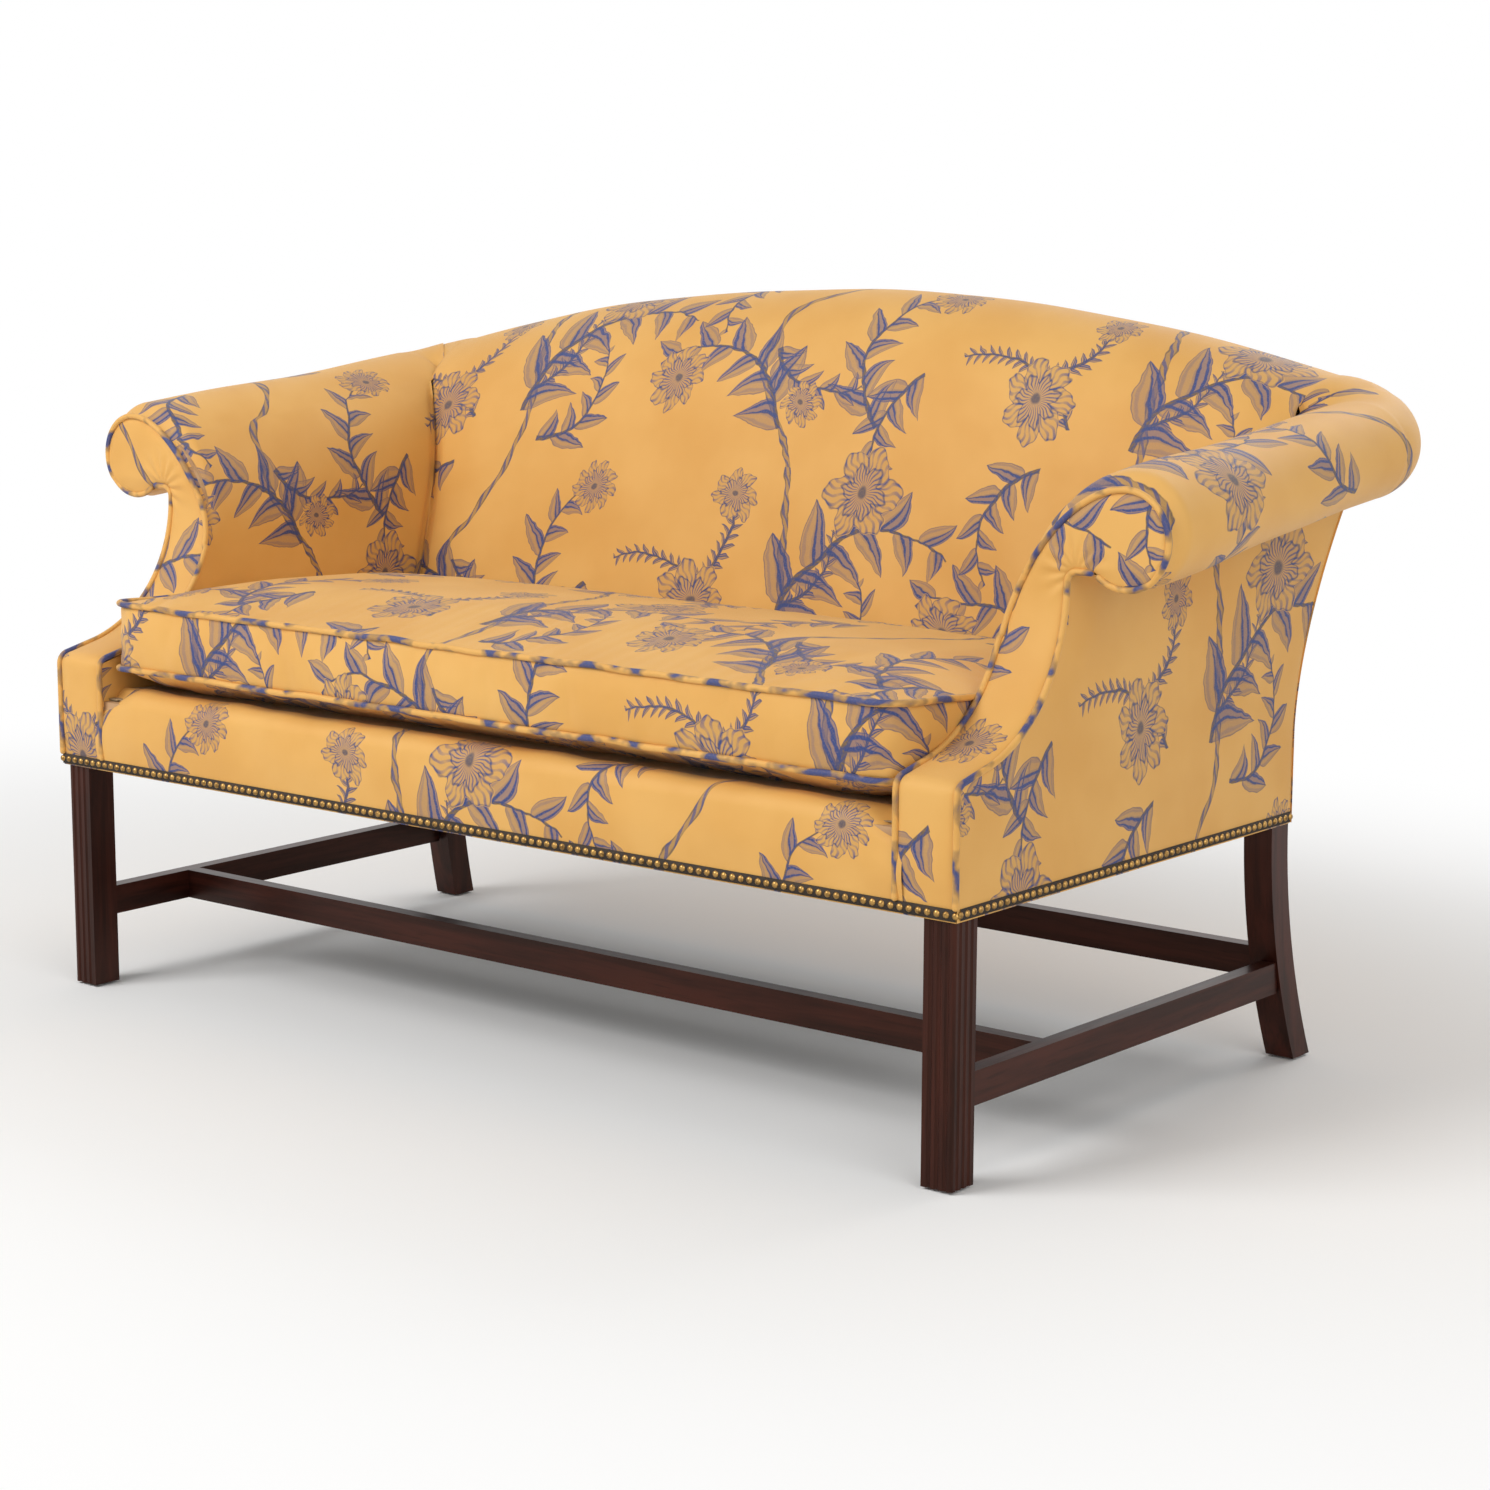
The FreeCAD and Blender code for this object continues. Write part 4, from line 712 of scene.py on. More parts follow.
# %% Cushion before it is filled
CUSHION_X = 0.628
CUSHION_DEEP = 0.548
CUSHION_CORNER = 0.042
CUSHION_EDGE = 0.041
CUSHION_BACKSET = 0.003
CUSHION_Z = 0.4725
CROWN = 0.022
BELLY = 0.024
STEP = 0.0105
LONG_COUNT = int(2 * CUSHION_X / STEP)
DEEP_COUNT = int(CUSHION_DEEP / STEP)
STRIP_COUNT = 10


def rounded(a, b):
    """A point of the square from -1 to 1 carried onto the rounded plan, on its own ring."""
    ring = np.maximum(np.maximum(np.abs(a), np.abs(b)), 1e-9)
    px, py = a / ring * CUSHION_X, b / ring * CUSHION_DEEP / 2
    qx = np.clip(px, CUSHION_CORNER - CUSHION_X, CUSHION_X - CUSHION_CORNER)
    qy = np.clip(py, CUSHION_CORNER - CUSHION_DEEP / 2, CUSHION_DEEP / 2 - CUSHION_CORNER)
    away = np.maximum(np.hypot(px - qx, py - qy), 1e-9)
    px, py = qx + (px - qx) / away * CUSHION_CORNER, qy + (py - qy) / away * CUSHION_CORNER
    return px * ring, py * ring, ring


def panel_grid(up):
    """Top (up 1) or bottom (up -1) panel, already partly crowned."""
    a, b = np.meshgrid(np.linspace(-1, 1, LONG_COUNT), np.linspace(-1, 1, DEEP_COUNT), indexing="ij")
    x, y, ring = rounded(a, b)
    dome = (1 - np.abs(a) ** 3.2) * (1 - np.abs(b) ** 2.4)
    full = (1 - np.abs(a) ** 40) * (1 - np.abs(b) ** 16)
    rise = CROWN * 0.62 * dome if up > 0 else BELLY * 0.80 * full
    return np.stack([x, y, up * (CUSHION_EDGE + rise)], -1), np.stack([x, y], -1)


def strip_grid():
    """Boxing strip round the edge of the panels, drawn in a little at half height."""
    long_way, short_way = np.linspace(-1, 1, LONG_COUNT), np.linspace(-1, 1, DEEP_COUNT)
    long_edge, short_edge = np.ones(LONG_COUNT - 1), np.ones(DEEP_COUNT - 1)
    a = np.concatenate([long_way[:-1], short_edge, long_way[:0:-1], -short_edge])
    b = np.concatenate([-long_edge, short_way[:-1], long_edge, short_way[:0:-1]])
    x, y, _ = rounded(a, b)
    ring = np.stack([x, y], -1)
    closed = np.concatenate([ring, ring[:1]])
    up = np.linspace(-1.0, 1.0, STRIP_COUNT) * CUSHION_EDGE
    points = np.stack(np.broadcast_arrays(x[:, None], y[:, None], up), -1)
    cloth = np.stack(np.broadcast_arrays(lengths(closed)[:, None], up), -1)
    return points, cloth, closed


top_sheet, top_cloth = panel_grid(1)
low_sheet, low_cloth = panel_grid(-1)
strip_sheet, strip_cloth, seam_plan = strip_grid()
cushion = merged("seat_cushion_cover", [
    surface("panel_top", top_sheet, top_cloth + [0.05, 0.3], weld=0),
    surface("panel_low", low_sheet, low_cloth + [0.2, 0.1], flip=True, weld=0),
    surface("boxing", strip_sheet, strip_cloth + [0.35, 0.5], wrap=True, weld=0),
])
close_up(cushion, 1e-4)
print("cushion", len(cushion.data.vertices), "points before filling")

# %% Fill the cushion
FILL_FRAMES = 20
FILL_CAP = 0.024
FILL_PRESSURE = 4.0
FILL_SPARE = -0.012


def place_of(thing):
    """All points of a mesh as one array."""
    values = np.empty(len(thing.data.vertices) * 3, np.float32)
    thing.data.vertices.foreach_get("co", values)
    return values.reshape(-1, 3).astype(float)


def set_place(thing, points):
    """Write an array of points back into a mesh."""
    thing.data.vertices.foreach_set("co", points.astype(np.float32).ravel())
    thing.data.update()


def fill(thing, held):
    """Cloth simulation with air pressure and no weight, the held points pinned, and every step capped."""
    before = place_of(thing)
    group = thing.vertex_groups.new(name="seams")
    group.add([int(index) for index in np.nonzero(held)[0]], 1.0, "REPLACE")
    cloth = thing.modifiers.new("filling", "CLOTH")
    settings = cloth.settings
    settings.vertex_group_mass = "seams"
    settings.use_pressure = True
    settings.uniform_pressure_force = FILL_PRESSURE
    settings.shrink_min = FILL_SPARE
    settings.effector_weights.gravity = 0.0
    settings.quality = 6
    cloth.collision_settings.use_collision = False
    scene = bpy.context.scene
    for step in range(1, FILL_FRAMES + 1):
        scene.frame_set(step)
    shown = thing.evaluated_get(bpy.context.evaluated_depsgraph_get())
    filled = np.empty(len(before) * 3, np.float32)
    shown.data.vertices.foreach_get("co", filled)
    thing.modifiers.clear()
    thing.vertex_groups.clear()
    scene.frame_set(1)
    move = filled.reshape(-1, 3).astype(float) - before
    size = np.linalg.norm(move, axis=1, keepdims=True)
    print("filling moved the cloth by up to", round(float(size.max()) * 1000, 1), "mm")
    move *= np.minimum(1.0, FILL_CAP / np.maximum(size, 1e-9))
    set_place(thing, before + move)


flat_place = place_of(cushion)
on_seam = np.abs(np.abs(flat_place[:, 2]) - CUSHION_EDGE) < 1e-4
fill(cushion, on_seam)


def laid(points):
    """From the level cushion to its place on the deck: turned down to the back and lifted."""
    turn = math.atan(SEAT_SLOPE)
    x, y, z = points[..., 0], points[..., 1] + CUSHION_DEEP / 2, points[..., 2]
    placed_y = FRONT + CUSHION_BACKSET + y * math.cos(turn) + z * math.sin(turn)
    return np.stack([x, placed_y, CUSHION_Z - y * math.sin(turn) + z * math.cos(turn)], -1)


set_place(cushion, laid(place_of(cushion)))
finer = cushion.modifiers.new("finer", "SUBSURF")
finer.levels = finer.render_levels = 1

# %% [markdown]
# ## Piping
# Piping is a cord in a bias strip of the same cloth. It is a round tube swept along the seam. Each ring
# of points needs two directions square to the path: the surface normal, which is known, and its cross
# product with the path.

# %% Sweep a tube
PIPE = 0.0038
CUSHION_PIPE = 0.0040
PROUD = 0.0020


def tube(name, path, normal, radius=PIPE, closed=False, sides=10):
    """A round tube along a path. Rings lie in the plane of the normal and its cross product with the path.
    The ends of an open tube are rounded."""
    along = np.gradient(path, axis=0)
    if closed:
        along = np.roll(path, -1, axis=0) - np.roll(path, 1, axis=0)
    along = along / np.linalg.norm(along, axis=1, keepdims=True)
    size = np.full(len(path), radius)
    if not closed:
        lean = np.radians([90.0, 55.0, 25.0])
        head = path[0] - along[0] * radius * np.sin(lean)[:, None]
        tail = path[-1] + along[-1] * radius * np.sin(lean[::-1])[:, None]
        path = np.concatenate([head, path, tail])
        size = np.concatenate([radius * np.cos(lean), size, radius * np.cos(lean[::-1])])
        along = np.concatenate([np.repeat(along[:1], 3, 0), along, np.repeat(along[-1:], 3, 0)])
        normal = np.concatenate([np.repeat(normal[:1], 3, 0), normal, np.repeat(normal[-1:], 3, 0)])
    side = np.cross(normal, along)
    side = side / np.linalg.norm(side, axis=1, keepdims=True)
    up = np.cross(along, side)
    angle = np.linspace(0.0, 2 * np.pi, sides + 1)
    ring = side[:, None] * np.cos(angle)[:, None] + up[:, None] * np.sin(angle)[:, None]
    points = path[:, None] + ring * size[:, None, None]
    run = lengths(np.concatenate([path, path[:1]]) if closed else path)
    cloth = np.stack(np.broadcast_arrays(run[:, None] * 0.8 + 0.13, angle * radius), -1)
    return surface(name, points, cloth, wrap=closed)


def facing_edge(edge, low_x):
    """Path of the piping up one edge of the facing, on the side line."""
    low = np.stack([np.full(len(low_line), low_x), FRONT + low_line[:, 0], low_line[:, 1]], -1)
    top = np.stack([edge[:, 0], front_edge(edge[:, 1]), edge[:, 1]], -1)
    return even(chain(low[4:], top), 330)


def side_normal(path):
    """Outward direction of the facing at each point of a path: square to the side line."""
    slope = np.gradient(side_line, axis=0)
    slope = slope / np.linalg.norm(slope, axis=1, keepdims=True)
    y = -np.interp(path[:, 2], side_line[:, 1], slope[:, 1])
    z = np.interp(path[:, 2], side_line[:, 1], slope[:, 0])
    return np.stack([0 * y, y, z], -1)


inner_path = facing_edge(inner_top[:-4], INNER_X)
under_x, under_z = on_scroll(np.linspace(SCROLL_TIP, SCROLL_UNDER, 24)).T
under_scroll = np.stack([under_x, front_edge(under_z) + 0.001, under_z], -1)
inner_path = even(chain(inner_path, under_scroll), 420)
outer_path = facing_edge(outer_top[:36], COVER_X)
pipings = []
for label, path in (("inner", inner_path), ("outer", outer_path)):
    normal = side_normal(path)
    path = path + normal * PROUD
    pipings.append(tube("facing_piping_%s_right" % label, path, normal))
    pipings.append(tube("facing_piping_%s_left" % label, mirrored(path), mirrored(normal)))

seam_plan = even(seam_plan, 760)[:-1] * 1.004
for label, up in (("top", 1.0), ("bottom", -1.0)):
    path = laid(np.insert(seam_plan, 2, up * CUSHION_EDGE, axis=1))
    path[:, 2] += ripple(path, 0.10, 0.0008, 40)
    upward = np.broadcast_to([0.0, 0.0, 1.0], path.shape)
    piping = tube("cushion_piping_" + label, path, upward, radius=CUSHION_PIPE, closed=True)
    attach(piping, "seat_cushion")
    pipings.append(piping)
print("pipings", len(pipings))

# %% [markdown]
# ## Deck and dust cloth
# Under the loose cushion the deck is covered with plain cotton, and the underside of the sofa is closed
# with a thin black dust cloth that sags a little between the rails.

# %% Deck and dust cloth
DECK_DOME = 0.002
SAG = 0.008
EDGE_GAP = 0.002
dust_low, dust_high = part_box("dust_cloth")


def deck_grid():
    """Deck cloth from behind the lip to under the back, slightly domed."""
    x = np.linspace(-INNER_X + 0.001, INNER_X - 0.001, 120)[:, None]
    y = np.linspace(FRONT + 0.0425, FRONT + 0.545, 60)[None, :]
    dome = (1 - (x / INNER_X) ** 4) * np.sin(np.pi * (y - y.min()) / (y.max() - y.min()))
    z = deck_top(y) - 0.0035 + DECK_DOME * dome
    points = np.stack(np.broadcast_arrays(x, y, z), -1)
    return points, points[..., :2]


deck_sheet, deck_cloth = deck_grid()
deck = surface("deck_cloth_sheet", deck_sheet, deck_cloth)


def dust_grid():
    """Dust cloth with a shallow sag, cut back round the four legs."""
    low_x, low_y = dust_low.x + EDGE_GAP, dust_low.y + EDGE_GAP
    high_x, high_y = dust_high.x - EDGE_GAP, dust_high.y - EDGE_GAP
    x = np.linspace(low_x, high_x, 90)[:, None]
    at_leg = smooth((np.abs(x) - HALF + 0.042) / 0.004)
    y = np.clip(np.linspace(low_y, high_y, 60), low_y + 0.037 * at_leg, high_y - 0.036 * at_leg)
    across = np.sin(np.pi * (x / (2 * dust_high.x) + 0.5))
    along = np.sin(np.pi * (y - dust_low.y) / (dust_high.y - dust_low.y))
    z = dust_low.z + 0.0003 - SAG * across * along
    points = np.stack(np.broadcast_arrays(x, y, z), -1)
    return points, points[..., :2]


dust_sheet, dust_flat = dust_grid()
dust = surface("dust_cloth_sheet", dust_sheet, dust_flat, flip=True)
print("deck", deck_sheet.shape, "dust cloth", dust_sheet.shape)

# %% [markdown]
# ## Materials: signals instead of wires
# A printed cotton is drawn by a long chain of Math nodes. To keep the recipe readable, a small class
# wraps a node socket and lets ordinary arithmetic make the nodes: `a * b + c` adds a Multiply and an Add.

# %% Arithmetic that makes nodes


class Signal:
    """A number that varies over a surface: the output of a node, or a plain constant."""

    def __init__(self, tree, value):
        self.tree = tree
        self.value = value

    def make(self, operation, *others):
        """The result of a Math node on this signal and the others."""
        node = self.tree.nodes.new("ShaderNodeMath")
        node.operation = operation
        for slot, item in enumerate((self,) + others):
            item = item.value if isinstance(item, Signal) else item
            if isinstance(item, (int, float)):
                node.inputs[slot].default_value = item
            else:
                self.tree.links.new(item, node.inputs[slot])
        return Signal(self.tree, node.outputs[0])

    def __add__(self, other):
        return self.make("ADD", other)

    __radd__ = __add__

    def __sub__(self, other):
        return self.make("SUBTRACT", other)

    def __rsub__(self, other):
        return (self * -1.0) + other

    def __mul__(self, other):
        return self.make("MULTIPLY", other)

    def __truediv__(self, other):
        return self.make("DIVIDE", other)

    def sin(self):
        return self.make("SINE")

    def abs(self):
        return self.make("ABSOLUTE")

    def root(self):
        return self.make("SQRT")

    def floor(self):
        return self.make("FLOOR")

    def fract(self):
        return self.make("FRACT")

    def least(self, other):
        return self.make("MINIMUM", other)

    def most(self, other):
        return self.make("MAXIMUM", other)

    def above(self, other):
        return self.make("GREATER_THAN", other)

    def angle(self, other):
        return self.make("ARCTAN2", other)

    def ramp(self, low, high, start=0.0, end=1.0):
        """start below low, end above high and a smooth step between."""
        node = self.tree.nodes.new("ShaderNodeMapRange")
        node.interpolation_type = "SMOOTHSTEP"
        self.tree.links.new(self.value, node.inputs[0])
        for slot, item in enumerate((low, high, start, end), start=1):
            node.inputs[slot].default_value = item
        return Signal(self.tree, node.outputs[0])


def new_material(name):
    """An empty node material with its shader."""
    material = bpy.data.materials.new(name)
    material.use_nodes = True
    tree = material.node_tree
    return material, tree, tree.nodes["Principled BSDF"]


def texture(tree, place, scale, detail=2.0, rough=0.5, distortion=0.0):
    """A noise texture on a place, as a signal."""
    node = tree.nodes.new("ShaderNodeTexNoise")
    node.inputs["Scale"].default_value = scale
    node.inputs["Detail"].default_value = detail
    node.inputs["Roughness"].default_value = rough
    node.inputs["Distortion"].default_value = distortion
    tree.links.new(place, node.inputs["Vector"])
    return Signal(tree, node.outputs["Fac"])


def colour_mix(tree, share, first, second):
    """Two colours mixed by a signal; each is a socket or a plain colour."""
    node = tree.nodes.new("ShaderNodeMix")
    node.data_type = "RGBA"
    tree.links.new(share.value, node.inputs[0])
    for slot, item in ((6, first), (7, second)):
        if isinstance(item, tuple):
            node.inputs[slot].default_value = (*item, 1.0)
        else:
            tree.links.new(item, node.inputs[slot])
    return node.outputs[2]


def bumped(tree, shader, height, distance, strength=1.0):
    """Small relief from a height signal."""
    node = tree.nodes.new("ShaderNodeBump")
    node.inputs["Distance"].default_value = distance
    node.inputs["Strength"].default_value = strength
    tree.links.new(height.value, node.inputs["Height"])
    tree.links.new(node.outputs[0], shader.inputs["Normal"])


# %% [markdown]
# ## The print
# The cloth is golden cotton printed with blue and brown-grey climbing branches. A printed repeat is a
# tile: the place on the cloth is folded into one tile, and every second column of tiles is moved up by
# half a tile, which printers call a half drop. In the tile a winding stem carries side branches. A branch
# is an arc, so two numbers describe any point near it: how far along it lies and how far beside it.
# Folding the first number makes a row of leaves.

# %% Branches, leaves and flowers as distances
TILE_X = 0.50
TILE_Y = 0.62
LEAF_CURL = 0.22
LEAF_LAG = 0.14


def leaf(x, y, length, width):
    """Blue and brown of a pointed leaf from (0, 0) along x: round base, long tip, outline, midrib and fine
    lines that run from base to tip. One half is darker than the other. The edge is root(t) * (1 - t)."""
    t = x / length
    y = y - t * (1.0 - t) * (LEAF_CURL * length)
    side = y.abs()
    edge = t.most(0.0).root() * (1.0 - t) * (2.6 * width)
    gap = edge - side
    body = gap.ramp(0.0, 0.0010)
    rim = gap.ramp(0.0006, 0.0026, 1.0, 0.0)
    across = side / edge.most(0.0005)
    lines = (across * 10.0 + t * 2.5).sin().ramp(-0.1, 0.9)
    rib = side.ramp(0.0003, 0.0013, 1.0, 0.0)
    dark = y.ramp(-0.001, 0.001)
    blue = body * (dark * 0.42 + 0.14 + lines * (dark * 0.30 + 0.24) + rim * 0.35).least(1.0)
    brown = body * (0.30 - dark * 0.12 + rim * 0.45 + rib * 0.7).least(1.0)
    return blue, brown


def window(u, v, middle):
    """Place measured from a motif's middle and folded into the repeat around it. Every second column of
    repeats is half a repeat lower."""
    across = (u - middle[0]) / TILE_X + 0.5
    column = across.floor()
    up = ((v - middle[1]) / TILE_Y + column * 0.5 + 0.5).fract()
    return (across - column - 0.5) * TILE_X, (up - 0.5) * TILE_Y


def branch(u, v, centre, radius, start, reach, leaf_long, leaf_wide, pitch, way, slope, thick):
    """An arc-shaped twig with leaves on both sides that get smaller towards its tip. Angles in degrees. It
    starts at an angle of its circle and runs on for its reach, against the clock with way 1, else with it."""
    start = math.radians(start)
    half_way = start + way * reach / radius / 2
    off_x, off_y = radius * math.cos(half_way), radius * math.sin(half_way)
    x, y = window(u, v, (centre[0] + off_x, centre[1] + off_y))
    dx, dy = x + off_x, y + off_y
    tx = dx * math.cos(start) + dy * math.sin(start)
    ty = (dy * math.cos(start) - dx * math.sin(start)) * way
    far = (tx * tx + ty * ty).root()
    along = ty.angle(tx) * radius
    beside = far - radius
    taper = 1.0 - along / reach
    inside = along.above(0.0) * taper.above(0.0)
    width = taper * thick + 0.0008
    stem = (beside.abs() - width).ramp(-0.0003, 0.0007, 1.0, 0.0) * inside
    left = beside.above(0.0)
    steps = along / pitch + left * 0.45
    whole = (steps.floor() - left).above(-0.5) * taper.above(0.0)
    cell = steps.fract() * pitch
    size = taper * 0.5 + 0.55
    out, forward = math.sin(math.radians(slope)), math.cos(math.radians(slope))
    side = beside.abs()
    lx = (side * out + cell * forward) / size
    ly = (cell * out - side * forward) / size - LEAF_LAG * pitch
    blue, brown = leaf(lx, ly, leaf_long, leaf_wide)
    knot = (along * 420.0 + beside * 900.0).sin().ramp(-0.2, 0.8)
    return (stem * (knot * 0.7)).most(blue * whole), stem.most(brown * whole)


def bloom(u, v, centre, radius, petals, twist):
    """A full flower: two rings of notched petals with outlines and rays, round a dark heart."""
    dx, dy = window(u, v, centre)
    far = (dx * dx + dy * dy).root() / radius
    angle = dy.angle(dx)
    outer = (angle * (petals / 2.0) + far * twist).sin().abs()
    inner = (angle * (petals / 2.0) + 1.2 - far * twist).sin().abs()
    notch = (angle * (petals * 3.0)).sin() * 0.025
    gap_outer = 0.70 + outer * 0.30 + notch - far
    gap_inner = 0.34 + inner * 0.26 + notch - far
    body = gap_outer.ramp(0.0, 0.03)
    front = gap_inner.ramp(0.0, 0.03)
    rim = gap_outer.ramp(0.015, 0.07, 1.0, 0.0).most(gap_inner.abs().ramp(0.010, 0.045, 1.0, 0.0))
    rays = (angle * 30.0 + (far * 14.0).sin() * 1.4).sin().ramp(-0.1, 0.8)
    fold = outer.ramp(0.25, 0.0) * (1.0 - front)
    deep = (far * 5.0 - 0.3).sin().abs()
    heart = far.ramp(0.08, 0.16, 1.0, 0.0)
    blue = body * (rays * (deep * 0.5 + 0.22) + rim * 0.35 + fold * 0.5 + front * 0.14).least(1.0)
    brown = body * (0.20 + rim * 0.55 + heart * 0.8 + fold * 0.3).least(1.0)
    return blue, brown


def print_group():
    """The whole repeat as a node group: place on the cloth in, amounts of blue and of brown out."""
    group = bpy.data.node_groups.new("leafy print", "ShaderNodeTree")
    group.interface.new_socket("Place", in_out="INPUT", socket_type="NodeSocketVector")
    group.interface.new_socket("Blue", in_out="OUTPUT", socket_type="NodeSocketFloat")
    group.interface.new_socket("Brown", in_out="OUTPUT", socket_type="NodeSocketFloat")
    entry = group.nodes.new("NodeGroupInput")
    leave = group.nodes.new("NodeGroupOutput")
    parts = group.nodes.new("ShaderNodeSeparateXYZ")
    group.links.new(entry.outputs[0], parts.inputs[0])
    sway = texture(group, entry.outputs[0], 9.0, 1.0)
    shake = texture(group, entry.outputs[0], 60.0, 1.0)
    u = Signal(group, parts.outputs[0]) + sway * 0.040 + shake * 0.006
    v = Signal(group, parts.outputs[1]) - sway * 0.030 + shake * 0.006
    x, y = window(u, v, (0.0, 0.0))
    wave = y * (2 * math.pi / TILE_Y)
    off = x - wave.sin() * 0.052 - (wave * 2.0 + 0.9).sin() * 0.017
    slant = off.abs() * 0.88
    knots = (y * 130.0).sin() * 0.0010
    bark = (slant - 0.0048 - knots).ramp(-0.0006, 0.0006, 1.0, 0.0)
    twined = (y * 260.0 + off * 620.0).sin().ramp(-0.1, 0.6)
    blue = bark * (twined * 0.75)
    brown = bark * (slant.ramp(0.0022, 0.0044) * 0.45 + 0.5)

    twigs = [
        ((0.200, 0.070), 0.170, 172.0, 0.340, 0.104, 0.0230, 0.062, -1.0, 58.0, 0.0042),
        ((-0.160, 0.330), 0.150, 12.0, 0.290, 0.092, 0.0205, 0.056, 1.0, 56.0, 0.0034),
        ((0.050, 0.525), 0.110, 205.0, 0.180, 0.060, 0.0120, 0.039, 1.0, 46.0, 0.0024),
        ((-0.195, 0.030), 0.150, 28.0, 0.215, 0.032, 0.0046, 0.0135, 1.0, 50.0, 0.0020),
        ((0.225, 0.470), 0.125, 232.0, 0.250, 0.084, 0.0175, 0.052, -1.0, 50.0, 0.0030),
        ((-0.010, 0.235), 0.120, -62.0, 0.130, 0.036, 0.0056, 0.018, 1.0, 44.0, 0.0018),
        ((-0.070, 0.560), 0.100, 100.0, 0.200, 0.070, 0.0145, 0.042, 1.0, 52.0, 0.0024),
        ((-0.150, 0.240), 0.090, -70.0, 0.150, 0.030, 0.0044, 0.0140, 1.0, 50.0, 0.0018),
        ((0.080, 0.130), 0.085, -95.0, 0.190, 0.066, 0.0135, 0.040, 1.0, 50.0, 0.0022),
        ((0.260, 0.350), 0.110, 120.0, 0.190, 0.076, 0.0155, 0.044, 1.0, 52.0, 0.0024),
    ]
    for twig in twigs:
        more_blue, more_brown = branch(u, v, *twig)
        blue, brown = blue.most(more_blue), brown.most(more_brown)
    blooms = [
        ((-0.118, 0.128), 0.058, 7.0, 1.6),
        ((0.145, 0.285), 0.064, 6.0, -2.0),
        ((-0.200, 0.430), 0.050, 8.0, 2.2),
        ((0.190, 0.590), 0.040, 9.0, 3.0),
        ((0.020, 0.395), 0.032, 8.0, -2.6),
        ((-0.060, 0.270), 0.036, 7.0, 2.4),
    ]
    for flower in blooms:
        more_blue, more_brown = bloom(u, v, *flower)
        cleared = (more_blue + more_brown).above(0.02)
        blue = (blue * (1.0 - cleared)).most(more_blue)
        brown = (brown * (1.0 - cleared)).most(more_brown)
    group.links.new(blue.value, leave.inputs["Blue"])
    group.links.new(brown.value, leave.inputs["Brown"])
    return group


leafy_print = print_group()
print("print nodes", len(leafy_print.nodes))

# %% [markdown]
# ## Printed cotton
# The ground is golden and slightly uneven, the ink lets some of it through, and a fine weave gives the
# relief and breaks up the soft gloss of the glazed cotton.

# %% Cloth material
GOLD = (0.780, 0.435, 0.120)
GOLD_DEEP = (0.720, 0.375, 0.090)
THREADS = 1400.0
INK_BLUE = (0.036, 0.062, 0.205)
INK_BROWN = (0.150, 0.100, 0.066)


def print_cloth(name, bias=0.0):
    """Printed cotton: print and weave from the cloth's own place, soft sheen. With bias, a strip cut across
    the print: blotches of ink follow each other along it."""
    material, tree, shader = new_material(name)
    source = tree.nodes.new("ShaderNodeUVMap")
    source.uv_map = "Cloth"
    place = source.outputs[0]
    grain = texture(tree, place, 420.0, 1.0)
    cloudy = texture(tree, place, 7.0, 3.0)
    ground = colour_mix(tree, cloudy.ramp(0.3, 0.7), GOLD, GOLD_DEEP)
    if bias:
        blotch = texture(tree, place, bias, 2.0)
        blue, brown = blotch.ramp(0.53, 0.60) * 0.95, blotch.ramp(0.44, 0.54) * 0.6
    else:
        printed = tree.nodes.new("ShaderNodeGroup")
        printed.node_tree = leafy_print
        tree.links.new(place, printed.inputs[0])
        blue, brown = Signal(tree, printed.outputs["Blue"]), Signal(tree, printed.outputs["Brown"])
    worn = grain.ramp(0.15, 0.6) * 0.18 + 0.82
    browned = colour_mix(tree, brown * worn, ground, INK_BROWN)
    tree.links.new(colour_mix(tree, blue * worn, browned, INK_BLUE), shader.inputs["Base Color"])
    parts = tree.nodes.new("ShaderNodeSeparateXYZ")
    tree.links.new(place, parts.inputs[0])
    warp = (Signal(tree, parts.outputs[0]) * (THREADS * 2 * math.pi)).sin()
    weft = (Signal(tree, parts.outputs[1]) * (THREADS * 2 * math.pi)).sin()
    bumped(tree, shader, warp * weft * 0.5 + grain * 0.8, 0.00012, 0.55)
    tree.links.new((grain * 0.12 + 0.46).value, shader.inputs["Roughness"])
    shader.inputs["Sheen Weight"].default_value = 0.10
    shader.inputs["Sheen Roughness"].default_value = 0.4
    shader.inputs["Specular IOR Level"].default_value = 0.30
    return material


cotton = print_cloth("printed cotton")
bias_cotton = print_cloth("printed cotton on the bias", bias=34.0)
print("cloth nodes", len(cotton.node_tree.nodes), "and on the bias", len(bias_cotton.node_tree.nodes))


def dress(thing, material, body="root", nodes=()):
    """Give a piece its material, its body and the frame's nodes that it stands for."""
    thing.data.materials.clear()
    thing.data.materials.append(material)
    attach(thing, body)
    if nodes:
        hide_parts(*nodes)
    return thing


covers = {
    arm_right: ("arm_pad_right", "roll_corner_right"),
    arm_left: ("arm_pad_left", "roll_corner_left"),
    inside_back: ("back_pad",),
    outside_right: ("outside_arm_right",),
    outside_left: ("outside_arm_left",),
    outside_back: ("outside_back",),
    facing_right: ("arm_facing_right",),
    facing_left: ("arm_facing_left",),
    border: ("front_border",),
}
for thing, nodes in covers.items():
    dress(thing, cotton, nodes=nodes)
dress(cushion, cotton, "seat_cushion",
      ("cushion_core", "cushion_top", "cushion_side", "cushion_bottom"))
for thing in pipings:
    body = "seat_cushion" if thing.name.startswith("cushion") else "root"
    dress(thing, bias_cotton, body)

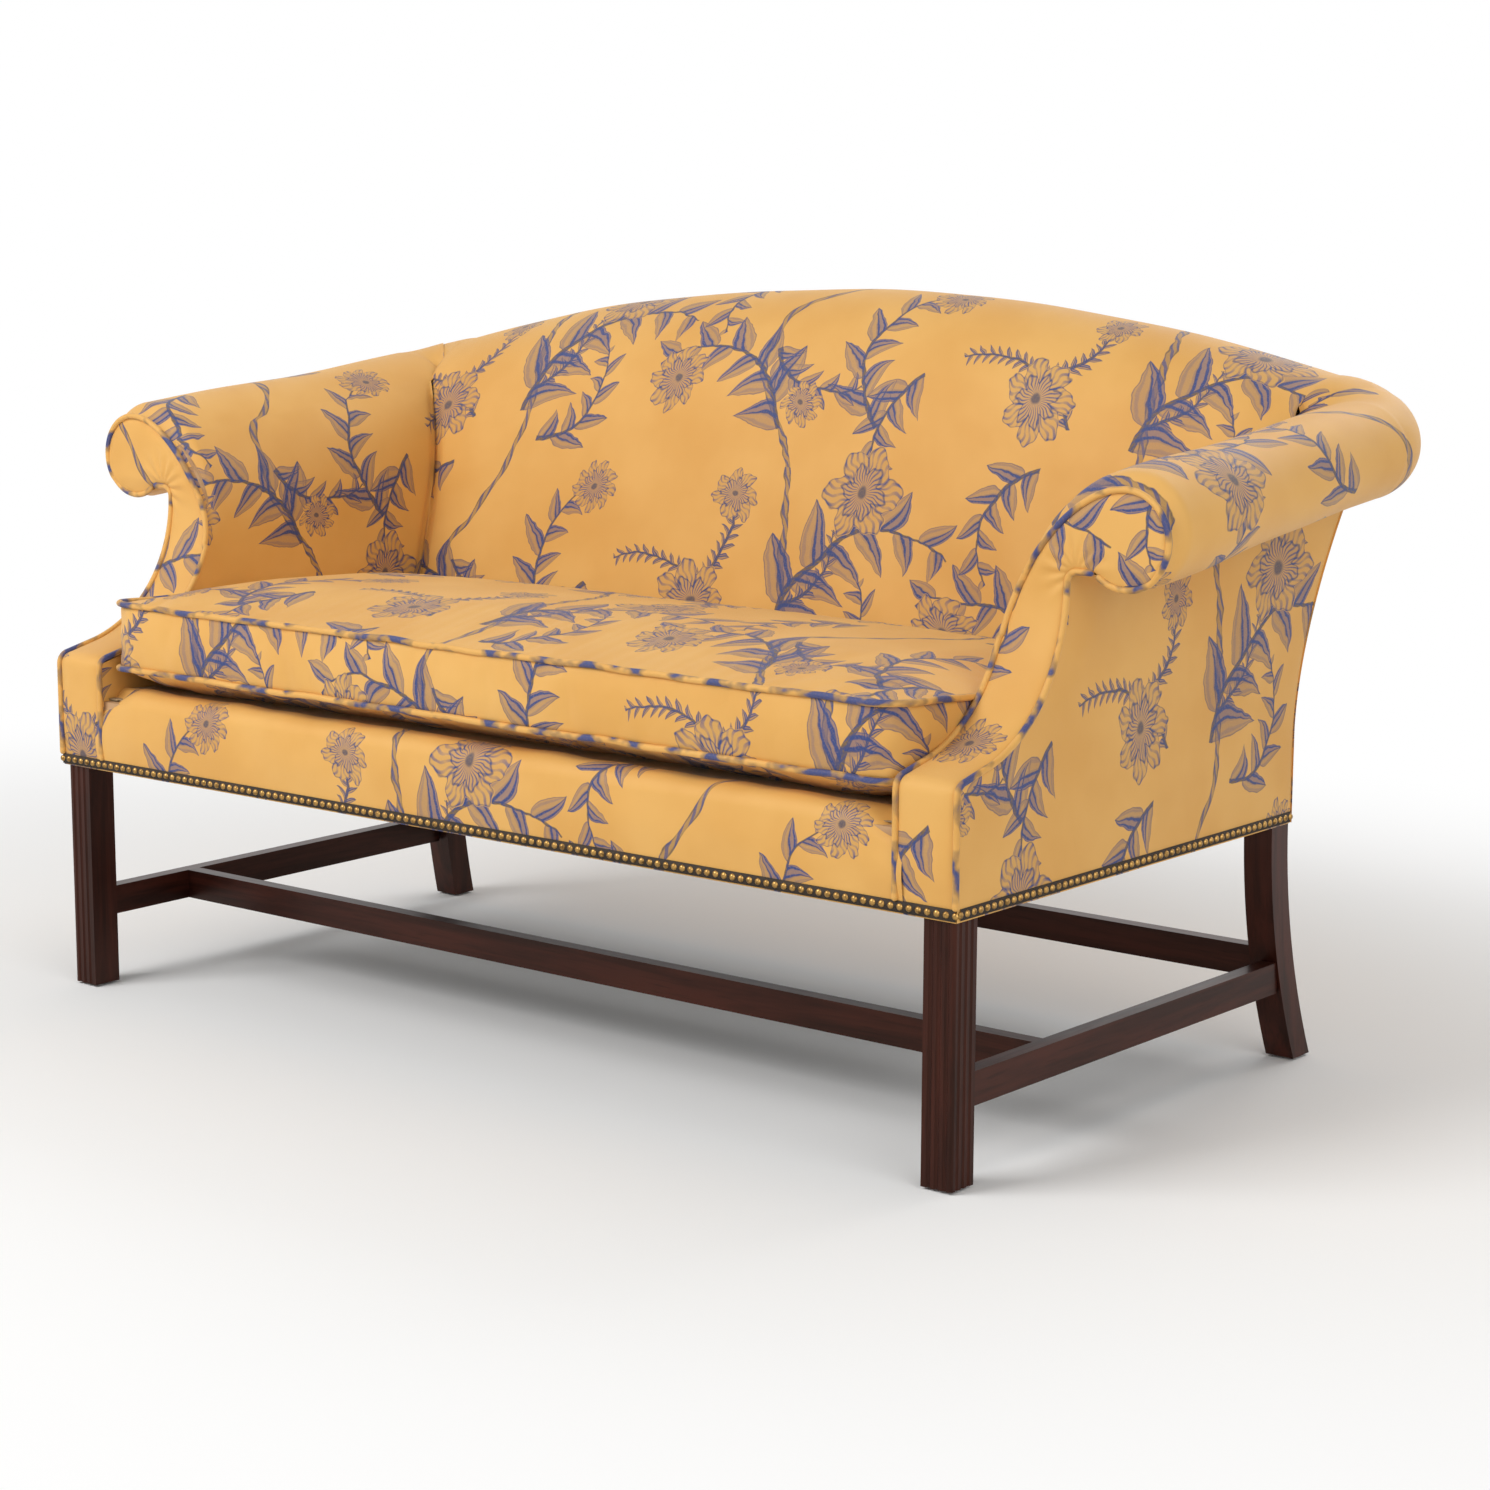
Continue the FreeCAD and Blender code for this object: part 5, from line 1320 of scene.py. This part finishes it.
# %% [markdown]
# ## Polished wood
# Legs and stretchers are dark red-brown polished wood. The grain is a noise stretched along each piece,
# and the polish is a thin clear coat.

# %% Wood, brass and plain cloths
WOOD_DARK = (0.014, 0.0036, 0.0025)
WOOD_LIGHT = (0.052, 0.0120, 0.0072)
WOOD_PORES = (0.012, 0.003, 0.002)


def polished_wood(name, stretch):
    """Wood whose grain runs along the axis where stretch is small."""
    material, tree, shader = new_material(name)
    place = tree.nodes.new("ShaderNodeTexCoord")
    mapped = tree.nodes.new("ShaderNodeMapping")
    mapped.inputs["Scale"].default_value = stretch
    tree.links.new(place.outputs["Object"], mapped.inputs[0])
    grain = texture(tree, mapped.outputs[0], 46.0, 6.0, 0.62, 0.6)
    pores = texture(tree, mapped.outputs[0], 260.0, 2.0)
    colour = colour_mix(tree, grain.ramp(0.32, 0.68), WOOD_DARK, WOOD_LIGHT)
    colour = colour_mix(tree, pores.ramp(0.58, 0.72) * 0.5, colour, WOOD_PORES)
    tree.links.new(colour, shader.inputs["Base Color"])
    tree.links.new((pores * 0.14 + 0.27).value, shader.inputs["Roughness"])
    shader.inputs["Specular IOR Level"].default_value = 0.25
    shader.inputs["Specular Tint"].default_value = (1.0, 0.62, 0.48, 1.0)
    shader.inputs["Coat Weight"].default_value = 0.06
    shader.inputs["Coat Roughness"].default_value = 0.20
    bumped(tree, shader, grain * 0.5 + pores * 0.5, 0.00025, 0.5)
    return material


def brass():
    """Aged brass: gold on the dome, darker in the hollows between."""
    material, tree, shader = new_material("aged brass")
    place = tree.nodes.new("ShaderNodeTexCoord")
    spots = texture(tree, place.outputs["Object"], 180.0, 3.0)
    colour = colour_mix(tree, spots.ramp(0.4, 0.75), (0.46, 0.27, 0.085), (0.13, 0.072, 0.026))
    tree.links.new(colour, shader.inputs["Base Color"])
    shader.inputs["Metallic"].default_value = 1.0
    tree.links.new((spots * 0.25 + 0.22).value, shader.inputs["Roughness"])
    return material


def plain_cloth(name, colour, shade, threads, rough=0.8):
    """Plain woven cloth with visible threads, on Object coordinates."""
    material, tree, shader = new_material(name)
    place = tree.nodes.new("ShaderNodeTexCoord")
    parts = tree.nodes.new("ShaderNodeSeparateXYZ")
    tree.links.new(place.outputs["Object"], parts.inputs[0])
    warp = (Signal(tree, parts.outputs[0]) * threads * 2 * math.pi).sin()
    weft = (Signal(tree, parts.outputs[1]) * threads * 2 * math.pi).sin()
    cloudy = texture(tree, place.outputs["Object"], 30.0, 3.0)
    tree.links.new(colour_mix(tree, cloudy.ramp(0.3, 0.7), colour, shade), shader.inputs["Base Color"])
    shader.inputs["Roughness"].default_value = rough
    bumped(tree, shader, warp * weft, 0.0003, 0.5)
    return material


def raw_wood():
    """Planed beech of the hidden frame."""
    material, tree, shader = new_material("planed beech")
    place = tree.nodes.new("ShaderNodeTexCoord")
    mapped = tree.nodes.new("ShaderNodeMapping")
    mapped.inputs["Scale"].default_value = (0.08, 1.0, 1.0)
    tree.links.new(place.outputs["Object"], mapped.inputs[0])
    grain = texture(tree, mapped.outputs[0], 60.0, 5.0, 0.6, 0.4)
    colour = colour_mix(tree, grain.ramp(0.3, 0.7), (0.60, 0.38, 0.20), (0.44, 0.25, 0.12))
    tree.links.new(colour, shader.inputs["Base Color"])
    shader.inputs["Roughness"].default_value = 0.62
    bumped(tree, shader, grain, 0.0003, 0.5)
    return material


def plain_metal(name, colour, rough):
    """Plated steel with fine scratches."""
    material, tree, shader = new_material(name)
    place = tree.nodes.new("ShaderNodeTexCoord")
    fine = texture(tree, place.outputs["Object"], 300.0, 2.0)
    scratched = colour_mix(tree, fine, colour, tuple(0.7 * part for part in colour))
    tree.links.new(scratched, shader.inputs["Base Color"])
    shader.inputs["Metallic"].default_value = 1.0
    tree.links.new((fine * 0.2 + rough).value, shader.inputs["Roughness"])
    return material


upright_wood = polished_wood("polished upright wood", (1.0, 1.0, 0.07))
side_wood = polished_wood("polished side wood", (1.0, 0.07, 1.0))
cross_wood = polished_wood("polished cross wood", (0.07, 1.0, 1.0))
beech = raw_wood()
dress(deck, plain_cloth("deck cotton", (0.60, 0.47, 0.30), (0.54, 0.41, 0.25), 500.0), "root",
      ("deck_cover", "deck_pad"))
dress(dust, plain_cloth("black dust cloth", (0.030, 0.029, 0.028), (0.045, 0.043, 0.041), 400.0, 0.95),
      "root", ("dust_cloth",))

FINISH = {
    "front_leg_right": upright_wood, "front_leg_left": upright_wood,
    "rear_leg_right": upright_wood, "rear_leg_left": upright_wood,
    "side_stretcher_right": side_wood, "side_stretcher_left": side_wood,
    "middle_stretcher": cross_wood, "rear_stretcher": cross_wood,
    "leg_glides": plain_metal("glide steel", (0.35, 0.34, 0.33), 0.35),
    "corner_screws": plain_metal("screw steel", (0.55, 0.52, 0.46), 0.30),
    "seat_webbing_long": plain_cloth("jute webbing", (0.36, 0.26, 0.15), (0.27, 0.19, 0.10), 160.0, 0.95),
    "seat_hessian": plain_cloth("hessian", (0.42, 0.31, 0.18), (0.33, 0.23, 0.13), 220.0, 0.95),
    "cushion_zip": plain_cloth("zip tape", (0.62, 0.50, 0.30), (0.55, 0.43, 0.25), 900.0, 0.8),
    "zip_slider": plain_metal("zip metal", (0.60, 0.55, 0.42), 0.25),
}
FINISH["seat_webbing_cross"] = FINISH["seat_webbing_long"]
shown = {name: node for name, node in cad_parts.items() if not node.hide_render}
for name, node in shown.items():
    node.data.materials.clear()
    node.data.materials.append(FINISH.get(name, beech))
print("shown frame nodes", sorted(shown))

# %% [markdown]
# ## Brass nails
# Close-set domed nails finish the lower edge on the front and both sides. One dome is a small grid of
# rings. All nails of a side are that dome moved to each place in one array operation.

# %% Rows of nails
NAIL = 0.0041
NAIL_STEP = 0.0118
NAIL_HEIGHT = 0.303
NAIL_RISE = 0.0027
NAIL_OUT = 0.0060
BAND = 0.0125
BAND_THICK = 0.002


def domes(name, centres, outward):
    """Shallow domes standing on a wall at many places: rings of falling radius, all centres at once."""
    rings = np.radians([0.0, 32.0, 62.0, 90.0])
    around = np.linspace(0.0, 2 * np.pi, 9)
    across = np.cross([0.0, 0.0, 1.0], outward)
    radius = NAIL * np.cos(rings)[:, None, None]
    height = NAIL_RISE * np.sin(rings)[:, None, None]
    circle = np.cos(around)[:, None] * across + np.sin(around)[:, None] * np.array([0.0, 0.0, 1.0])
    dome = radius * circle + height * np.array(outward, float)
    one = surface(name, dome, np.zeros(dome.shape[:2] + (2,)))
    points = place_of(one)
    faces = [tuple(face.vertices) for face in one.data.polygons]
    bpy.data.objects.remove(one)
    everything = (points[None] + centres[:, None]).reshape(-1, 3)
    shift = np.arange(len(centres)) * len(points)
    all_faces = [tuple(int(index + step) for index in face) for step in shift for face in faces]
    mesh = bpy.data.meshes.new(name)
    mesh.from_pydata(everything.tolist(), [], all_faces)
    mesh.polygons.foreach_set("use_smooth", np.ones(len(all_faces), bool))
    thing = bpy.data.objects.new(name, mesh)
    bpy.context.scene.collection.objects.link(thing)
    return thing


def band_grid(start, end, outward):
    """A flat braid under the nails, its edges turned in."""
    across = np.array([[-0.5, -BAND_THICK], [-0.5, 0.0], [0.5, 0.0], [0.5, -BAND_THICK]])
    along = line(start, end, 60)[:, None]
    points = along + across[:, :1] * np.array([0.0, 0.0, BAND]) + across[:, 1:] * np.array(outward)
    return points, points[..., :2] * 0


def nail_row(name, start, end, outward, node):
    """Nails at even steps on a thin dark band, which stands in for the plain band of the frame."""
    start, end = np.array(start), np.array(end)
    count = int(np.linalg.norm(end - start) / NAIL_STEP)
    centres = line(start, end, count)
    nails = domes(name + "_heads", centres, outward)
    nails.data.materials.append(brass_nail)
    band = surface(name + "_band", *band_grid(start, end, outward))
    band.data.materials.append(braid)
    nails = merged(name, [nails, band])
    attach(nails, "root")
    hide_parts(node)
    return nails


brass_nail = brass()
braid = plain_cloth("dark braid", (0.040, 0.024, 0.012), (0.022, 0.014, 0.008), 700.0, 0.8)
front_y = FRONT - NAIL_OUT
nail_row("nails_front", (-COVER_X, front_y, NAIL_HEIGHT), (COVER_X, front_y, NAIL_HEIGHT),
         (0.0, -1.0, 0.0), "nail_band_front")
for label, side in (("right", 1.0), ("left", -1.0)):
    side_x = side * (COVER_X + 0.001)
    nearest, farthest = (side_x, FRONT + 0.002, NAIL_HEIGHT), (side_x, COVER_Y - 0.008, NAIL_HEIGHT)
    row = nail_row("nails_" + label, nearest, farthest, (side, 0.0, 0.0), "nail_band_" + label)
    print(row.name, len(row.data.polygons), "faces")

# %% [markdown]
# ## Camera, light and floor
# The camera stands where the photograph was taken, a little above and to the right. Its long lens keeps
# lines nearly parallel. Three large soft lamps and a pale floor light the sofa plainly, and rays that
# only look past it see white.

# %% Camera
PHOTO_SIDE = 1490
FOCAL_PIXELS = 3215.0
YAW = math.radians(39.01)
PITCH = math.radians(10.02)
ROLL_ANGLE = math.radians(0.21)
EYE = (2.5833, -3.0901, 1.0545)


def turned(right, up, back, place):
    """Matrix of a camera or lamp from its three axes and its place."""
    matrix = np.eye(4)
    matrix[:3] = np.stack([right, up, back, place], -1)
    return Matrix(matrix.tolist())


def aim(camera):
    """Turn the camera by yaw, pitch and a slight roll, written as its three axes."""
    level = math.cos(PITCH)
    forward = np.array([-math.sin(YAW) * level, math.cos(YAW) * level, -math.sin(PITCH)])
    right = np.array([math.cos(YAW), math.sin(YAW), 0.0])
    up = np.cross(right, forward)
    right, up = (right * math.cos(ROLL_ANGLE) + up * math.sin(ROLL_ANGLE),
                 up * math.cos(ROLL_ANGLE) - right * math.sin(ROLL_ANGLE))
    camera.matrix_world = turned(right, up, -forward, EYE)


camera_data = bpy.data.cameras.new("camera")
camera_data.sensor_width = 36.0
camera_data.lens = FOCAL_PIXELS / PHOTO_SIDE * camera_data.sensor_width
camera = bpy.data.objects.new("camera", camera_data)
bpy.context.scene.collection.objects.link(camera)
aim(camera)
bpy.context.scene.camera = camera
print("lens", round(camera_data.lens, 2), "mm, height", EYE[2], "m")

# %% Lamps, floor and surroundings
MIDDLE = (0.0, 0.0, 0.5)


def lamp(name, place, size, power):
    """A large square soft lamp at a place, facing the middle of the sofa."""
    data = bpy.data.lights.new(name, "AREA")
    data.energy = power
    data.size = size
    thing = bpy.data.objects.new(name, data)
    bpy.context.scene.collection.objects.link(thing)
    back = np.array(place) - np.array(MIDDLE)
    back = back / np.linalg.norm(back)
    right = np.cross([0.0, 0.0, 1.0], back)
    right = right / np.linalg.norm(right)
    thing.matrix_world = turned(right, np.cross(back, right), back, place)


lamp("key", (-1.4, -3.2, 3.3), 2.4, 120.0)
lamp("fill", (3.6, -1.6, 2.0), 2.8, 42.0)
lamp("rear", (0.5, 3.2, 2.6), 2.6, 40.0)


def seen_directly(tree):
    """1 for rays that come from the camera, a mirror or glass, and 0 for those that carry light."""
    rays = tree.nodes.new("ShaderNodeLightPath")
    seen = Signal(tree, rays.outputs["Is Camera Ray"])
    seen = seen.most(Signal(tree, rays.outputs["Is Glossy Ray"]))
    return seen.most(Signal(tree, rays.outputs["Is Transmission Ray"]))


def mixed_into(tree, share, shader, plain, output):
    """Send a mix of a lit shader and a plain white one to the output."""
    plain.inputs[0].default_value = (1.0, 1.0, 1.0, 1.0)
    plain.inputs[1].default_value = 1.0
    mix = tree.nodes.new("ShaderNodeMixShader")
    tree.links.new(share.value, mix.inputs[0])
    tree.links.new(shader.outputs[0], mix.inputs[1])
    tree.links.new(plain.outputs[0], mix.inputs[2])
    tree.links.new(mix.outputs[0], output.inputs[0])


world = bpy.data.worlds.new("surroundings")
bpy.context.scene.world = world
world.use_nodes = True
tree = world.node_tree
sky = tree.nodes["Background"]
sky.inputs[0].default_value = (1.0, 0.99, 0.97, 1.0)
sky.inputs[1].default_value = 0.42
white = tree.nodes.new("ShaderNodeBackground")
mixed_into(tree, seen_directly(tree), sky, white, tree.nodes["World Output"])

FLOOR_HALF = 9.0
ticks = np.linspace(-FLOOR_HALF, FLOOR_HALF, 3)
floor_points = np.stack(np.broadcast_arrays(ticks[:, None], ticks[None, :], 0.0), -1)
floor = surface("floor", floor_points, floor_points[..., :2])
floor_material, tree, floor_shader = new_material("pale floor")
floor_shader.inputs["Base Color"].default_value = (0.93, 0.93, 0.925, 1.0)
floor_shader.inputs["Roughness"].default_value = 0.85
floor_shader.inputs["Specular IOR Level"].default_value = 0.1
spot = tree.nodes.new("ShaderNodeTexCoord")
parts = tree.nodes.new("ShaderNodeSeparateXYZ")
tree.links.new(spot.outputs["Object"], parts.inputs[0])
across, along = Signal(tree, parts.outputs[0]), Signal(tree, parts.outputs[1])
distance = (across * across * 0.6 + along * along).root()
fade = distance.ramp(0.7, 2.1) * seen_directly(tree)
white = tree.nodes.new("ShaderNodeEmission")
mixed_into(tree, fade, floor_shader, white, tree.nodes["Material Output"])
floor.data.materials.append(floor_material)

bpy.context.scene.view_settings.view_transform = "Standard"
